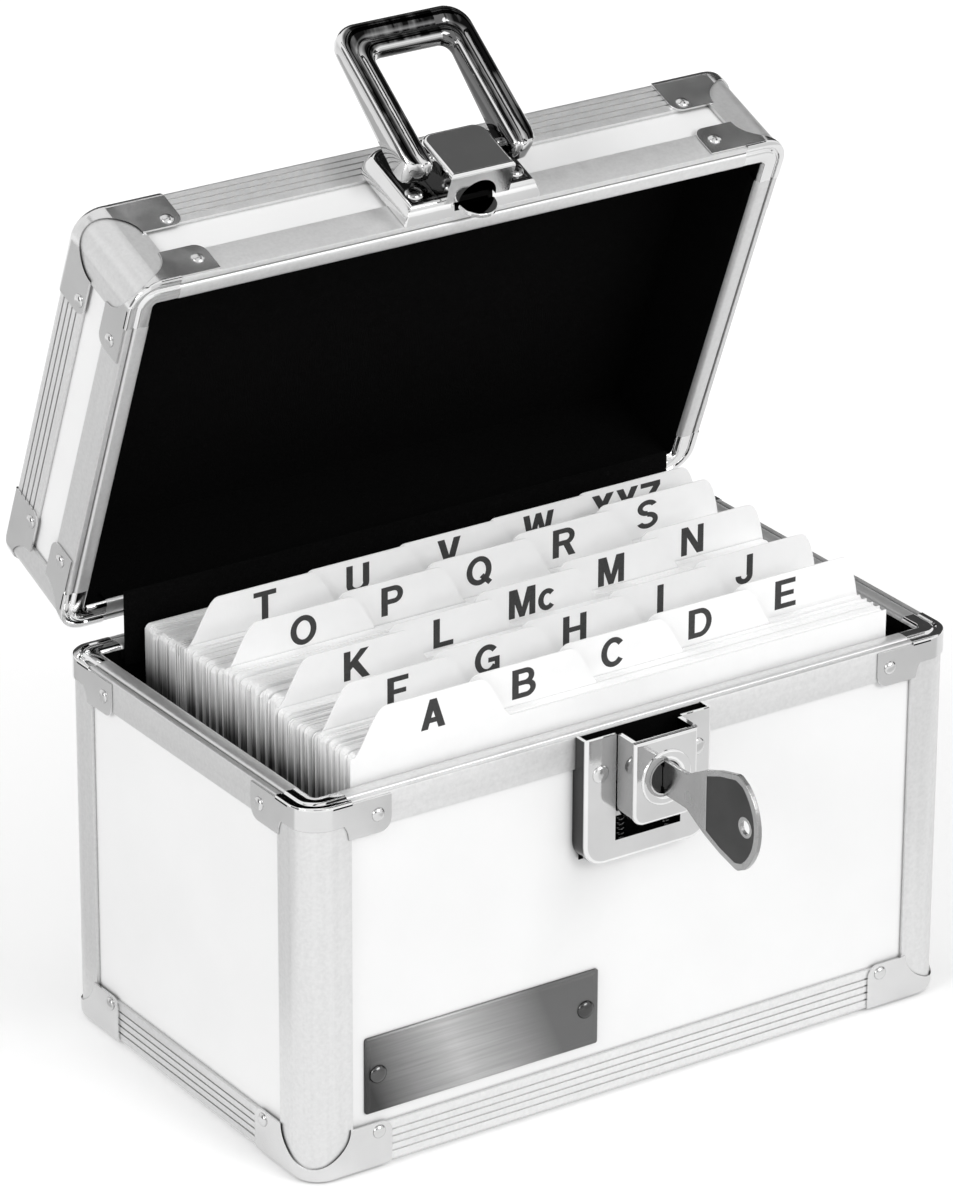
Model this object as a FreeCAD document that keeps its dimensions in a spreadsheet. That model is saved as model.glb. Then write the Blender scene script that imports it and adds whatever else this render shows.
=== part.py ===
"""Lockable index card box: an aluminium-framed case with a hinged lid, filled with cards and tabbed guides.

X runs to the right, Y to the back and Z up. The origin is the middle of the base's underside.
The lid stands open by lid_open_angle; its pieces are built closed and swung about the hinge pins.
"""
import FreeCAD, Part
import math
import os
import re
import Sketcher
from FreeCAD import Placement, Rotation, Vector

DOC = FreeCAD.newDocument("index_card_box")

SIZES = [
    ("box_width", 184.0),            # outside of the frame, left to right
    ("box_depth", 108.0),            # outside of the frame, front to back
    ("base_height", 97.5),           # underside of the feet to the joint with the lid
    ("lid_height", 30.0),            # joint to the outside of the lid's corner caps
    ("lid_open_angle", 68.5),        # from closed to the shown position
    ("post_radius", 7.0),            # outside radius of the corner posts
    ("post_flange", 12.3),           # from the sharp corner to the edge of a post's flange
    ("frame_wall", 1.0),             # wall of every extrusion
    ("board_thickness", 3.6),        # laminated side panels
    ("floor_board", 2.0),            # bottom panel and lid top panel
    ("lining_thickness", 0.9),
    ("rim_band", 8.5),               # outer face of a rim extrusion, joint to lower edge
    ("lip_step", 0.3),               # how far the lip stands above the outer band
    ("lip_inset", 1.5),              # from the outer face to the lip
    ("lip_groove", 0.5),             # width of the groove beside the lip
    ("rim_leg", 3.8),                # inner leg of a rim extrusion, down from the joint
    ("rim_leg_wall", 0.8),
    ("edge_band", 11.2),             # both legs of a ribbed edge extrusion
    ("edge_radius", 2.0),            # rounding of the bottom and top edges
    ("rib_first", 3.0),              # first rib groove, above the extrusion's corner
    ("rib_pitch", 1.9),
    ("rib_width", 0.5),
    ("rib_depth", 0.35),
    ("cap_sheet", 0.5),              # sheet of the corner caps
    ("cap_reach", 22.8),             # from the sharp corner to the end of a cap's tab
    ("rim_tab_drop", 10.0),          # tab of a rim cap, down from the joint
    ("foot_tab_rise", 12.6),         # tab of a foot cap, up from the underside
    ("cap_corner", 3.0),             # rounded free corners of the tabs
    ("arch_radius", 8.4),            # arched cut-out of a cap around the post
    ("cap_rivet_reach", 19.2),       # from the sharp corner to a cap's rivet
    ("rim_rivet_drop", 5.3),
    ("foot_rivet_rise", 10.2),
    ("rivet_radius", 1.7),
    ("rivet_dome", 0.8),
    ("hinge_offset", 3.0),           # hinge pin behind the back face
    ("hinge_cap_gap", 4.2),          # tab of a corner cap to the nearer end of a hinge
    ("hinge_width", 30.0),
    ("hinge_leaf_height", 8.2),      # joint to the far edge of a leaf
    ("hinge_leaf_gap", 2.9),         # joint to the near edge of a leaf
    ("hinge_leaf_wall", 0.8),
    ("hinge_arm", 1.4),
    ("hinge_middle", 9.8),           # knuckle of the lid's leaf
    ("knuckle_radius", 2.3),
    ("hinge_pin_radius", 1.0),
    ("running_gap", 0.05),           # between a pin and its bore
    ("side_gap", 0.2),               # between pieces that pass each other
    ("lock_plate_width", 36.2),
    ("lock_plate_height", 33.0),
    ("lock_plate_depth", 4.0),
    ("lock_plate_corner", 6.0),
    ("plate_wall", 1.0),
    ("plate_round", 1.2),
    ("slot_spare", 0.7),             # left below the slide at the end of its travel
    ("slide_width", 18.2),
    ("slide_height", 21.7),
    ("slide_front", 11.0),           # front of the slide, before the front face of the box
    ("slide_wall", 1.3),
    ("slide_corner", 3.5),
    ("slide_round", 1.0),
    ("slide_travel", 5.0),
    ("ear_width", 23.0),             # retaining ears behind the lock plate
    ("ear_height", 6.4),
    ("ear_thickness", 1.0),
    ("cylinder_radius", 4.1),
    ("cylinder_drop", 10.8),         # key cylinder's axis below the joint
    ("cylinder_recess", 0.6),
    ("cylinder_housing_wall", 1.2),
    ("cam_thickness", 1.2),
    ("cam_width", 5.0),
    ("cam_reach", 9.2),
    ("cam_finger", 1.8),
    ("cam_finger_width", 2.4),
    ("cam_finger_depth", 2.3),
    ("cam_clearance", 0.4),          # cam to the box's front face
    ("key_thickness", 1.2),
    ("key_clearance", 0.15),
    ("key_blade_start", 2.5),        # tip of the blade, before the front face
    ("key_blade_height", 5.2),
    ("key_neck", 6.0),               # from the slide's front to the shoulder of the bow
    ("key_neck_height", 9.0),
    ("key_bow_start", 2.2),          # shoulder to the first corner of the bow
    ("key_bow_spread", 19.8),        # first corner to the widest part
    ("key_bow_length", 31.0),
    ("key_bow_round", 2.0),
    ("key_hole_inset", 5.2),
    ("key_bow_height", 24.2),
    ("key_bow_tip", 8.0),
    ("key_hole_radius", 1.8),
    ("spring_radius", 1.0),
    ("spring_wire_radius", 0.2),
    ("spring_pitch", 1.3),
    ("spring_spacing", 13.0),
    ("plate_rivet_spacing", 27.4),
    ("plate_rivet_radius", 2.2),
    ("plate_rivet_drop", 9.3),
    ("latch_plate_width", 38.2),
    ("latch_plate_height", 24.6),
    ("latch_plate_depth", 4.5),
    ("latch_plate_corner", 6.0),
    ("latch_block_width", 18.0),
    ("latch_block_height", 16.0),
    ("latch_block_front", 13.0),     # front of the block, before the front face of the lid
    ("latch_block_lift", 0.2),       # underside of the block above the joint
    ("latch_block_wall", 1.2),
    ("latch_block_corner", 3.5),     # rounded upper corners
    ("latch_block_round", 1.0),
    ("tongue_width", 10.0),
    ("tongue_thickness", 1.2),
    ("tongue_drop", 5.0),            # tip of the tongue below the joint
    ("tongue_corner", 4.8),
    ("tongue_back", 2.5),            # back of the tongue before the front face of the lid
    ("catch_top", 1.2),              # notch of the tongue, below the joint
    ("catch_foot", 4.2),
    ("catch_width", 1.6),            # notch past the middle of the tongue
    ("handle_width", 37.0),
    ("handle_front", 4.7),           # outer face of the bail before its pivot
    ("handle_back", 2.9),            # back of the heels behind the pivot
    ("handle_taper", 3.1),           # less thickness at the cross bar
    ("handle_length", 38.0),         # pivot to the outside of the cross bar
    ("handle_window", 28.7),         # pivot to the inside of the cross bar
    ("handle_heel", 5.0),            # arms beyond the pivot
    ("handle_heel_corner", 4.5),
    ("handle_heel_inner", 1.5),
    ("handle_side_gap", 2.0),        # between an arm and the latch block
    ("handle_corner", 6.0),
    ("handle_window_corner", 3.0),
    ("handle_round", 2.0),
    ("handle_lean", 15.0),           # from the lid's upright at its stop
    ("pivot_front", 10.8),           # handle pivot before the front face of the lid
    ("pivot_rise", 9.9),             # handle pivot above the joint
    ("handle_pin_radius", 1.2),
    ("handle_pin_length", 31.0),
    ("nameplate_width", 65.4),
    ("nameplate_height", 19.7),
    ("nameplate_thickness", 0.8),
    ("nameplate_left", 16.0),        # from the left outer face
    ("nameplate_bottom", 15.0),
    ("nameplate_rivet_inset", 3.5),
    ("guide_body", 99.0),            # guide below its tab
    ("guide_thickness", 0.3),
    ("tab_width", 43.0),
    ("tab_height", 11.2),
    ("tab_slope", 6.0),
    ("tab_inset", 1.0),
    ("tab_corner", 3.0),
    ("file_start", 7.4),             # front face of the box to the first guide
    ("file_end", 8.1),               # last card to the back face of the box
    ("file_left", 16.8),             # left face of the box to the cards
    ("file_right", 14.8),            # cards to the right face of the box
    ("card_gap", 0.05),
    ("card_height_front", 100.4),
    ("card_height_second", 99.4),
    ("card_height_middle", 101.6),
    ("card_height_fourth", 100.0),
    ("card_height_back", 98.2),
    ("row_share_front", 0.16),       # of the file's depth, row by row
    ("row_share_second", 0.19),
    ("row_share_middle", 0.25),
    ("row_share_fourth", 0.185),
    ("row_share_back", 0.215),
    ("guide_share", 0.175),          # of a row's depth, from one guide to the next
    ("guide_share_back", 0.05),
]


def make_sheet():
    """Spreadsheet with one named cell for each driving dimension."""
    sheet = DOC.addObject("Spreadsheet::Sheet", "dims")
    for row, (name, value) in enumerate(SIZES, start=1):
        sheet.set("A%d" % row, name)
        sheet.set("B%d" % row, str(value))
        sheet.setAlias("B%d" % row, name)
    DOC.recompute()
    return sheet


SHEET = make_sheet()
TINY = 1e-3                          # less than this far apart counts as together
SHEET_NAME = re.compile(r"\b[a-z]+(?:_[a-z]+)+\b")


def formula(text):
    """Expression text with every dimension's name pointing at its cell."""
    return SHEET_NAME.sub(lambda match: "dims." + match.group(0), str(text))


def value(text):
    """Present value of a formula."""
    result = SHEET.evalExpression(formula(text))
    return float(getattr(result, "Value", result))


def bind(thing, prop, text):
    thing.setExpression(prop, formula(text))


def place(thing, x="0", y="0", z="0"):
    """Ties a piece's position to the sheet."""
    for axis, text in zip("xyz", (x, y, z)):
        if str(text) != "0":
            bind(thing, "Placement.Base." + axis, text)
    return thing


# Heights and offsets shared by several pieces
HALF_WIDTH = "box_width / 2"
HALF_DEPTH = "box_depth / 2"
PANEL_BACK = "(frame_wall + board_thickness)"
LINING_FACE = "(frame_wall + board_thickness + lining_thickness)"
RIM_BACK = "(frame_wall + board_thickness + lining_thickness + rim_leg_wall)"
BOARD_FOOT = "(cap_sheet + frame_wall)"
FLOOR_BOARD_TOP = "(cap_sheet + frame_wall + floor_board)"
FLOOR = "(cap_sheet + frame_wall + floor_board + lining_thickness)"
WEB = "(lip_step + frame_wall)"
HINGE_Y = "(box_depth / 2 + hinge_offset)"
HINGE_MIDDLE = "(box_width / 2 - cap_reach - hinge_cap_gap - hinge_width / 2)"
CYLINDER_Z = "(base_height - cylinder_drop)"
LOCK_TOP = "(base_height - side_gap)"
SLIDE_FOOT = "(base_height - side_gap - slide_height)"


def origin_plane(body, role):
    return next(f for f in body.Origin.OriginFeatures if f.Role == role)


def new_body(name):
    return DOC.addObject("PartDesign::Body", name)


def rounded_path(outline):
    """Points of an outline of level and upright sides, each corner (x, y) or (x, y, radius).

    Gives a list of ("point", x, y) and ("arc", start, centre, end), all as formulas.
    """
    count = len(outline)
    path = []
    for index, corner in enumerate(outline):
        x, y = corner[0], corner[1]
        if len(corner) == 2:
            path.append(("point", (x, y)))
            continue
        radius = corner[2]
        ends = []
        for other in (outline[index - 1], outline[(index + 1) % count]):
            across = value(other[0]) - value(x)
            upward = value(other[1]) - value(y)
            if abs(across) > abs(upward):
                ends.append(("x", "%s %s %s" % (x, "+" if across > 0 else "-", radius)))
            else:
                ends.append(("y", "%s %s %s" % (y, "+" if upward > 0 else "-", radius)))
        turned = dict(ends)
        points = [(text, y) if axis == "x" else (x, text) for axis, text in ends]
        path.append(("arc", points[0], (turned["x"], turned["y"]), points[1]))
    return path


def draw(sketch, outline):
    """Draws a closed outline in a sketch, every corner held by the sheet."""
    path = rounded_path(outline)
    arrivals = [step[1] for step in path]
    departures = [step[1] if step[0] == "point" else step[3] for step in path]
    at = lambda point: Vector(value(point[0]), value(point[1]), 0)

    def hold(geometry, end, axis, text):
        number = value(text)
        if abs(number) < TINY / 1e6:
            line = -2 if axis == "X" else -1
            sketch.addConstraint(Sketcher.Constraint("PointOnObject", geometry, end, line))
            return
        kind = "Distance" + axis
        index = sketch.addConstraint(Sketcher.Constraint(kind, -1, 1, geometry, end, number))
        bind(sketch, "Constraints[%d]" % index, text)

    count = len(path)
    lines = []
    for index in range(count):
        start, end = departures[index], arrivals[(index + 1) % count]
        line = sketch.addGeometry(Part.LineSegment(at(start), at(end)), False)
        lines.append(line)
        hold(line, 1, "X", start[0])
        hold(line, 1, "Y", start[1])
    for index, step in enumerate(path):
        before, after = lines[index - 1], lines[index]
        if step[0] == "point":
            sketch.addConstraint(Sketcher.Constraint("Coincident", before, 2, after, 1))
            continue
        hold(before, 2, "X", step[1][0])
        hold(before, 2, "Y", step[1][1])
        centre = at(step[2])
        first, last = at(step[1]) - centre, at(step[3]) - centre
        forward = first.cross(last).z > 0
        low, high = (first, last) if forward else (last, first)
        circle = Part.Circle(centre, Vector(0, 0, 1), first.Length)
        turn = math.atan2(low.y, low.x)
        arc = sketch.addGeometry(Part.ArcOfCircle(circle, turn, turn + math.pi / 2), False)
        ends = ((before, 2), (after, 1)) if forward else ((after, 1), (before, 2))
        sketch.addConstraint(Sketcher.Constraint("Coincident", arc, 1, ends[0][0], ends[0][1]))
        sketch.addConstraint(Sketcher.Constraint("Coincident", arc, 2, ends[1][0], ends[1][1]))
        hold(arc, 3, "X", step[2][0])


def add_sketch(body, name, role, outlines, lift="0"):
    """Sketch on one of the body's own origin planes, moved along its normal by lift."""
    sketch = body.newObject("Sketcher::SketchObject", name)
    sketch.AttachmentSupport = (origin_plane(body, role), [""])
    sketch.MapMode = "FlatFace"
    if str(lift) != "0":
        bind(sketch, "AttachmentOffset.Base.z", lift)
    for outline in outlines:
        draw(sketch, outline)
    return sketch


def pad(body, name, role, outline, length, lift="0", midplane=False):
    feature = body.newObject("PartDesign::Pad", name)
    feature.Profile = add_sketch(body, name + "_sketch", role, [outline], lift)
    bind(feature, "Length", length)
    feature.Midplane = midplane
    return feature


def pocket(body, name, role, outline, length, lift="0", reversed_=False, midplane=False):
    """Cuts an outline out of a body, and makes sure that it removes something."""
    DOC.recompute()
    before = body.Shape.Volume
    feature = body.newObject("PartDesign::Pocket", name)
    feature.Profile = add_sketch(body, name + "_sketch", role, [outline], lift)
    bind(feature, "Length", length)
    feature.Reversed = reversed_
    feature.Midplane = midplane
    DOC.recompute()
    if body.Shape.Volume > before - TINY:
        raise RuntimeError(name + " cuts nothing")
    return feature


def round_edges(body, name, chosen, radius):
    """Fillets the edges of a body for which chosen(edge) is true."""
    DOC.recompute()
    base = body.Tip
    names = ["Edge%d" % n for n, edge in enumerate(base.Shape.Edges, start=1) if chosen(edge)]
    feature = body.newObject("PartDesign::Fillet", name)
    feature.Base = (base, names)
    bind(feature, "Radius", radius)
    return feature


def lies_at(edge, axis, place_text):
    """True for an edge that lies wholly at one coordinate."""
    target = value(place_text)
    box = edge.BoundBox
    low, high = getattr(box, axis + "Min"), getattr(box, axis + "Max")
    return abs(low - target) < TINY and abs(high - target) < TINY


def box(name, length, width, height, x="0", y="0", z="0"):
    thing = DOC.addObject("Part::Box", name)
    bind(thing, "Length", length)
    bind(thing, "Width", width)
    bind(thing, "Height", height)
    return place(thing, x, y, z)


def centred_box(name, length, width, height, x, y, z):
    """Box whose middle is at x; y and z are its low sides."""
    return box(name, length, width, height, "%s - (%s) / 2" % (x, length), y, z)


def cylinder(name, radius, height, direction, x="0", y="0", z="0"):
    """Cylinder from (x, y, z) along a direction."""
    thing = DOC.addObject("Part::Cylinder", name)
    bind(thing, "Radius", radius)
    bind(thing, "Height", height)
    thing.Placement = Placement(Vector(), Rotation(Vector(0, 0, 1), Vector(*direction)))
    return place(thing, x, y, z)


def dome(name, radius, height, direction, x, y, z):
    """Rivet head: half an ellipsoid that stands on a face."""
    thing = DOC.addObject("Part::Ellipsoid", name)
    bind(thing, "Radius1", height)
    bind(thing, "Radius2", radius)
    bind(thing, "Radius3", radius)
    thing.Angle1 = 0
    thing.Placement = Placement(Vector(), Rotation(Vector(0, 0, 1), Vector(*direction)))
    return place(thing, x, y, z)


def cut(name, base, tool):
    thing = DOC.addObject("Part::Cut", name)
    thing.Base = base
    thing.Tool = tool
    return thing


def fuse(name, pieces):
    thing = DOC.addObject("Part::MultiFuse", name)
    thing.Shapes = pieces
    thing.Refine = True
    return thing


def group(name, pieces):
    thing = DOC.addObject("Part::Compound", name)
    thing.Links = pieces
    return thing


def mirrored(name, piece, normal):
    thing = DOC.addObject("Part::Mirroring", name)
    thing.Source = piece
    thing.Normal = Vector(*normal)
    return thing


def four_corners(name, piece):
    """The front left piece and its mirror images at the other three corners."""
    pair = group(name + "_pair", [piece, mirrored(name + "_right", piece, (1, 0, 0))])
    return group(name, [pair, mirrored(name + "_back", pair, (0, 1, 0))])


NODES = {}


def node(label, thing):
    """Registers a finished piece under its name."""
    thing.Label = label
    NODES[label] = thing
    return thing


def lid_node(label, piece, closed_y="0", closed_z="0", turn="lid_open_angle"):
    """Finished piece of the lid: built closed, then swung open about the hinge pins.

    closed_y and closed_z are where the piece's own origin is when the lid is closed, and turn is
    how far the piece is turned back from the way it was built.
    """
    swung = group("swung_" + label, [piece])
    swung.Placement = Placement(Vector(), Rotation(Vector(-1, 0, 0), 1))
    bind(swung, "Placement.Rotation.Angle", "(%s) * 1 deg" % turn)
    away_y = "(%s - %s)" % (closed_y, HINGE_Y)
    away_z = "(%s - base_height)" % closed_z
    sine, cosine = "sin(lid_open_angle * 1 deg)", "cos(lid_open_angle * 1 deg)"
    place(swung, "0",
          "%s + %s * %s + %s * %s" % (HINGE_Y, away_y, cosine, away_z, sine),
          "base_height - %s * %s + %s * %s" % (away_y, sine, away_z, cosine))
    return node(label, swung)


# The base and the lid are both trays, built floor down with their rim at height


# Middle of each side's outer face and the side's length, each a quarter turn on from the one before
SIDES = {
    "front": ("0", "0 - box_depth / 2", "box_width"),
    "right": ("box_width / 2", "0", "box_depth"),
    "back": ("0", "box_depth / 2", "box_width"),
    "left": ("0 - box_width / 2", "0", "box_depth"),
}
RIB_GROOVES = 4


def side_bar(name, side, outline, inset):
    """Bar along one side of a tray: outline is (inwards, upwards), inset its distance from the corners."""
    x, y, span = SIDES[side]
    turn = 90 * list(SIDES).index(side)
    body = new_body(name)
    pad(body, name + "_length", "YZ_Plane", outline, "%s - 2 * %s" % (span, inset), midplane=True)
    body.Placement = Placement(Vector(), Rotation(Vector(0, 0, 1), turn))
    return place(body, x, y)


def rim_outline(height):
    """Rim extrusion: outer band, lip over the boards and a short inner leg."""
    band_foot = "%s - rim_band" % height
    band_top = "%s - lip_step" % height
    groove = "%s - 2 * lip_step" % height
    web = "%s - %s" % (height, WEB)
    leg_foot = "%s - rim_leg" % height
    return [("0", band_foot), ("frame_wall", band_foot), ("frame_wall", web), (LINING_FACE, web),
            (LINING_FACE, leg_foot), (RIM_BACK, leg_foot), (RIM_BACK, height), ("lip_inset", height),
            ("lip_inset", groove), ("lip_inset - lip_groove", groove),
            ("lip_inset - lip_groove", band_top), ("0", band_top)]


def edge_outline():
    """Ribbed angle extrusion around the floor's edge."""
    top = "cap_sheet + edge_band"
    outline = [("edge_band", "cap_sheet"), ("edge_band", BOARD_FOOT), ("frame_wall", BOARD_FOOT),
               ("frame_wall", top), ("0", top)]
    for rib in reversed(range(RIB_GROOVES)):
        low = "cap_sheet + rib_first + %d * rib_pitch" % rib
        high = low + " + rib_width"
        outline += [("0", high), ("rib_depth", high), ("rib_depth", low), ("0", low)]
    return outline + [("0", "cap_sheet", "edge_radius")]


def post_outline():
    """Corner post: rounded outside, two flanges, and a core that the boards butt against."""
    return [("0", "0", "post_radius"), ("post_flange", "0"), ("post_flange", "frame_wall"),
            ("post_radius", "frame_wall"), ("post_radius", PANEL_BACK), (PANEL_BACK, PANEL_BACK),
            (PANEL_BACK, "post_radius"), ("frame_wall", "post_radius"), ("frame_wall", "post_flange"),
            ("0", "post_flange")]


def corner_path(near, far, reach):
    """Angle strip round a rounded corner, between two distances from the outer faces."""
    outer, inner = "post_radius - %s" % near, "post_radius - %s" % far
    return [(near, near, outer), (reach, near), (reach, far), (far, far, inner), (far, reach), (near, reach)]


def at_corner(body):
    return place(body, "0 - box_width / 2", "0 - box_depth / 2")


def corner_post(name, height):
    body = new_body(name)
    foot = "(cap_sheet + edge_radius + side_gap)"
    pad(body, name + "_length", "XY_Plane", post_outline(), "%s - %s - %s" % (height, WEB, foot), foot)
    return at_corner(body)


def arch(name, z):
    """Cutter of the arched notch where a cap leaves the post bare."""
    return cylinder(name, "arch_radius", "2 * post_flange", (1, 1, 0),
                    "0 - box_width / 2 - cap_sheet", "0 - box_depth / 2 - cap_sheet", z)


def tab_ends(level):
    """Chooses the free corners of a cap's two tabs, at their ends and at a level."""
    def chosen(edge):
        middle = edge.CenterOfMass
        return max(middle.x, middle.y) > value("cap_reach") - TINY and lies_at(edge, "Z", level)
    return chosen


def rim_corner(name, height):
    """Plated cap: two tabs on the faces, and the lip carried round the corner."""
    body = new_body(name)
    tab_foot = "(%s - rim_tab_drop)" % height
    band_top = "(%s - lip_step)" % height
    sheet_face = "(0 - cap_sheet)"
    pad(body, name + "_tabs", "XY_Plane", corner_path(sheet_face, "0", "cap_reach"),
        "%s - %s" % (band_top, tab_foot), tab_foot)
    round_edges(body, name + "_tab_rounding", tab_ends(tab_foot), "cap_corner")
    pad(body, name + "_web", "XY_Plane", corner_path(sheet_face, RIM_BACK, "post_flange"),
        "frame_wall", "%s - frame_wall" % band_top)
    pad(body, name + "_lip", "XY_Plane", corner_path("lip_inset", RIM_BACK, "post_flange"),
        "lip_step", band_top)
    return cut(name + "_arched", at_corner(body), arch(name + "_arch", tab_foot))


def floor_corner(name):
    """Plated cap round a bottom corner: an angle under the floor's edge and two tabs."""
    shells = []
    for part, skin, lift in (("outer", "cap_sheet", "0"), ("inner", "0", "cap_sheet")):
        body = new_body(name + "_" + part)
        near = "(0 - %s)" % skin
        reach = "cap_reach" if part == "outer" else "2 * cap_reach"
        radius = "post_radius + %s" % skin
        outline = [(near, near, radius), (reach, near), (reach, "edge_band"), ("edge_band", "edge_band"),
                   ("edge_band", reach), (near, reach)]
        rise = "foot_tab_rise" if part == "outer" else "2 * foot_tab_rise"
        pad(body, name + "_" + part + "_block", "XY_Plane", outline, "%s - %s" % (rise, lift), lift)
        face = value(near)

        def bottom_edge(edge, face=face, lift=lift):
            inside = edge.BoundBox.XMin > face + TINY and edge.BoundBox.YMin > face + TINY
            return lies_at(edge, "Z", lift) and not inside and edge.Length > value("post_radius")

        round_edges(body, name + "_" + part + "_round", bottom_edge, "edge_radius + %s" % skin)
        if part == "outer":
            round_edges(body, name + "_tab_rounding", tab_ends("foot_tab_rise"), "cap_corner")
        shells.append(at_corner(body))
    hollow = cut(name + "_hollow", shells[0], shells[1])
    return cut(name + "_arched", hollow, arch(name + "_arch", "foot_tab_rise"))


def cap_rivets(name, height):
    """Two domed rivets in each cap of the front left corner."""
    domes = []
    for level, z in (("floor", "foot_rivet_rise"), ("rim", "%s - rim_rivet_drop" % height)):
        reach, face = "cap_rivet_reach", "cap_sheet"
        domes.append(dome("%s_%s_front" % (name, level), "rivet_radius", "rivet_dome", (0, -1, 0),
                          "0 - box_width / 2 + " + reach, "0 - box_depth / 2 - " + face, z))
        domes.append(dome("%s_%s_side" % (name, level), "rivet_radius", "rivet_dome", (-1, 0, 0),
                          "0 - box_width / 2 - " + face, "0 - box_depth / 2 + " + reach, z))
    return group(name + "_corner", domes)


def flat_box(name, inset, low, high):
    """Level board, inset by the same distance from the outer faces on all four sides."""
    return box(name, "box_width - 2 * (%s)" % inset, "box_depth - 2 * (%s)" % inset, "%s - %s" % (high, low),
               "0 - box_width / 2 + (%s)" % inset, "0 - box_depth / 2 + (%s)" % inset, low)


def lining_tray(name, height):
    """Felt-covered card tray inside the boards."""
    outer = flat_box(name + "_outside", PANEL_BACK, FLOOR_BOARD_TOP, "%s - %s" % (height, WEB))
    inner = flat_box(name + "_inside", LINING_FACE, FLOOR, height)
    return cut(name, outer, inner)


def floor_board(name, flush):
    """Board over the edge extrusions; a flush one is rebated, so its middle is level with the caps."""
    board = flat_box(name, PANEL_BACK, BOARD_FOOT, FLOOR_BOARD_TOP)
    if not flush:
        return board
    middle = flat_box(name + "_middle", "edge_band + side_gap", "0", FLOOR_BOARD_TOP)
    return fuse(name + "_rebated", [board, middle])


def make_tray(prefix, height, finish, floor_name):
    """Boards, extrusions, caps, rivets and lining of a tray; finish(label, piece) seats each one."""
    opposite = {"front": "back", "back": "front", "left": "left", "right": "right"}
    boards = []
    for side in SIDES:
        label_side = side if prefix == "base" else opposite[side]
        rim = side_bar("%s_rim_bar_%s" % (prefix, side), side, rim_outline(height), "post_flange")
        finish("%s_%s_rim" % (prefix, label_side), rim)
        edge = side_bar("%s_edge_bar_%s" % (prefix, side), side, edge_outline(), "post_flange")
        finish("%s_%s_edge" % (prefix, label_side), edge)
        board_top = "%s - %s" % (height, WEB)
        outline = [("frame_wall", BOARD_FOOT), (PANEL_BACK, BOARD_FOOT), (PANEL_BACK, board_top),
                   ("frame_wall", board_top)]
        board = side_bar("%s_board_%s" % (prefix, side), side, outline, "post_radius")
        if prefix == "base":
            finish("%s_%s_panel" % (prefix, label_side), board)
        else:
            boards.append(board)
    if boards:
        finish("lid_side_panels", group("lid_boards", boards))
    finish(floor_name, floor_board(prefix + "_floor", flush=prefix == "base"))
    finish(prefix + "_corner_posts", four_corners(prefix + "_posts", corner_post(prefix + "_post", height)))
    rim_caps = four_corners(prefix + "_rim_caps", rim_corner(prefix + "_rim_cap", height))
    finish(prefix + "_rim_corners", rim_caps)
    outer_label = "base_foot_corners" if prefix == "base" else "lid_top_corners"
    finish(outer_label, four_corners(prefix + "_floor_caps", floor_corner(prefix + "_floor_cap")))
    finish(prefix + "_cap_rivets", four_corners(prefix + "_rivets", cap_rivets(prefix + "_rivet", height)))
    finish(prefix + "_lining", lining_tray(prefix + "_felt", height))


def lid_tray_node(label, piece):
    return lid_node(label, piece, "0", "(base_height + lid_height)", "lid_open_angle + 180")


make_tray("base", "base_height", node, "base_bottom_panel")
make_tray("lid", "lid_height", lid_tray_node, "lid_top_panel")


# Hinges


def hinge_leaf(name, lid):
    """Right-hand leaf with its knuckles, in the closed position."""
    left_end = HINGE_MIDDLE + " - hinge_width / 2"
    if lid:
        spans = [(HINGE_MIDDLE + " - hinge_middle / 2", "hinge_middle")]
        leaf_z, arm_z = "base_height + hinge_leaf_gap", "base_height + hinge_leaf_gap - hinge_arm"
    else:
        side = "(hinge_width - hinge_middle) / 2 - side_gap"
        spans = [(left_end, side), (HINGE_MIDDLE + " + hinge_middle / 2 + side_gap", side)]
        leaf_z, arm_z = "base_height - hinge_leaf_height", "base_height - hinge_leaf_gap"
    solids = [box(name + "_leaf", "hinge_width", "hinge_leaf_wall", "hinge_leaf_height - hinge_leaf_gap",
                  left_end, HALF_DEPTH, leaf_z)]
    for index, (x, length) in enumerate(spans):
        arm, barrel = "%s_arm_%d" % (name, index), "%s_barrel_%d" % (name, index)
        solids.append(box(arm, length, "hinge_offset", "hinge_arm", x, HALF_DEPTH, arm_z))
        solids.append(cylinder(barrel, "knuckle_radius", length, (1, 0, 0), x, HINGE_Y, "base_height"))
    bore = cylinder(name + "_bore", "hinge_pin_radius + running_gap", "hinge_width", (1, 0, 0),
                    left_end, HINGE_Y, "base_height")
    right = cut(name + "_bored", fuse(name + "_solid", solids), bore)
    return group(name + "_both", [right, mirrored(name + "_left", right, (1, 0, 0))])


node("hinge_base_leaves", hinge_leaf("base_hinge", False))
lid_node("hinge_lid_leaves", hinge_leaf("lid_hinge", True))
right_pin = cylinder("hinge_pin", "hinge_pin_radius", "hinge_width", (1, 0, 0),
                     HINGE_MIDDLE + " - hinge_width / 2", HINGE_Y, "base_height")
left_pin = mirrored("hinge_pin_left", right_pin, (1, 0, 0))
node("hinge_pins", group("hinge_pin_pair", [right_pin, left_pin]))


# Lock on the base


def front_at(distance):
    """Position along Y at a distance before the front face."""
    return "(0 - box_depth / 2 - (%s))" % distance


def front_box(name, half_width, near, far, low, high):
    """Box centred on the lock, between two distances before the front face."""
    return box(name, "2 * (%s)" % half_width, "%s - (%s)" % (far, near), "%s - (%s)" % (high, low),
               "0 - (%s)" % half_width, front_at(far), low)


def upright_outline(half, foot, top, corner):
    """Rectangle with rounded lower corners."""
    return [("0 - " + half, top), ("0 - " + half, foot, corner), (half, foot, corner), (half, top)]


def pressed_rim(face, top):
    """Chooses the front edges of a pressed cover, except the one along its open top."""
    def chosen(edge):
        return lies_at(edge, "Y", face) and not lies_at(edge, "Z", top)
    return chosen


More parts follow.
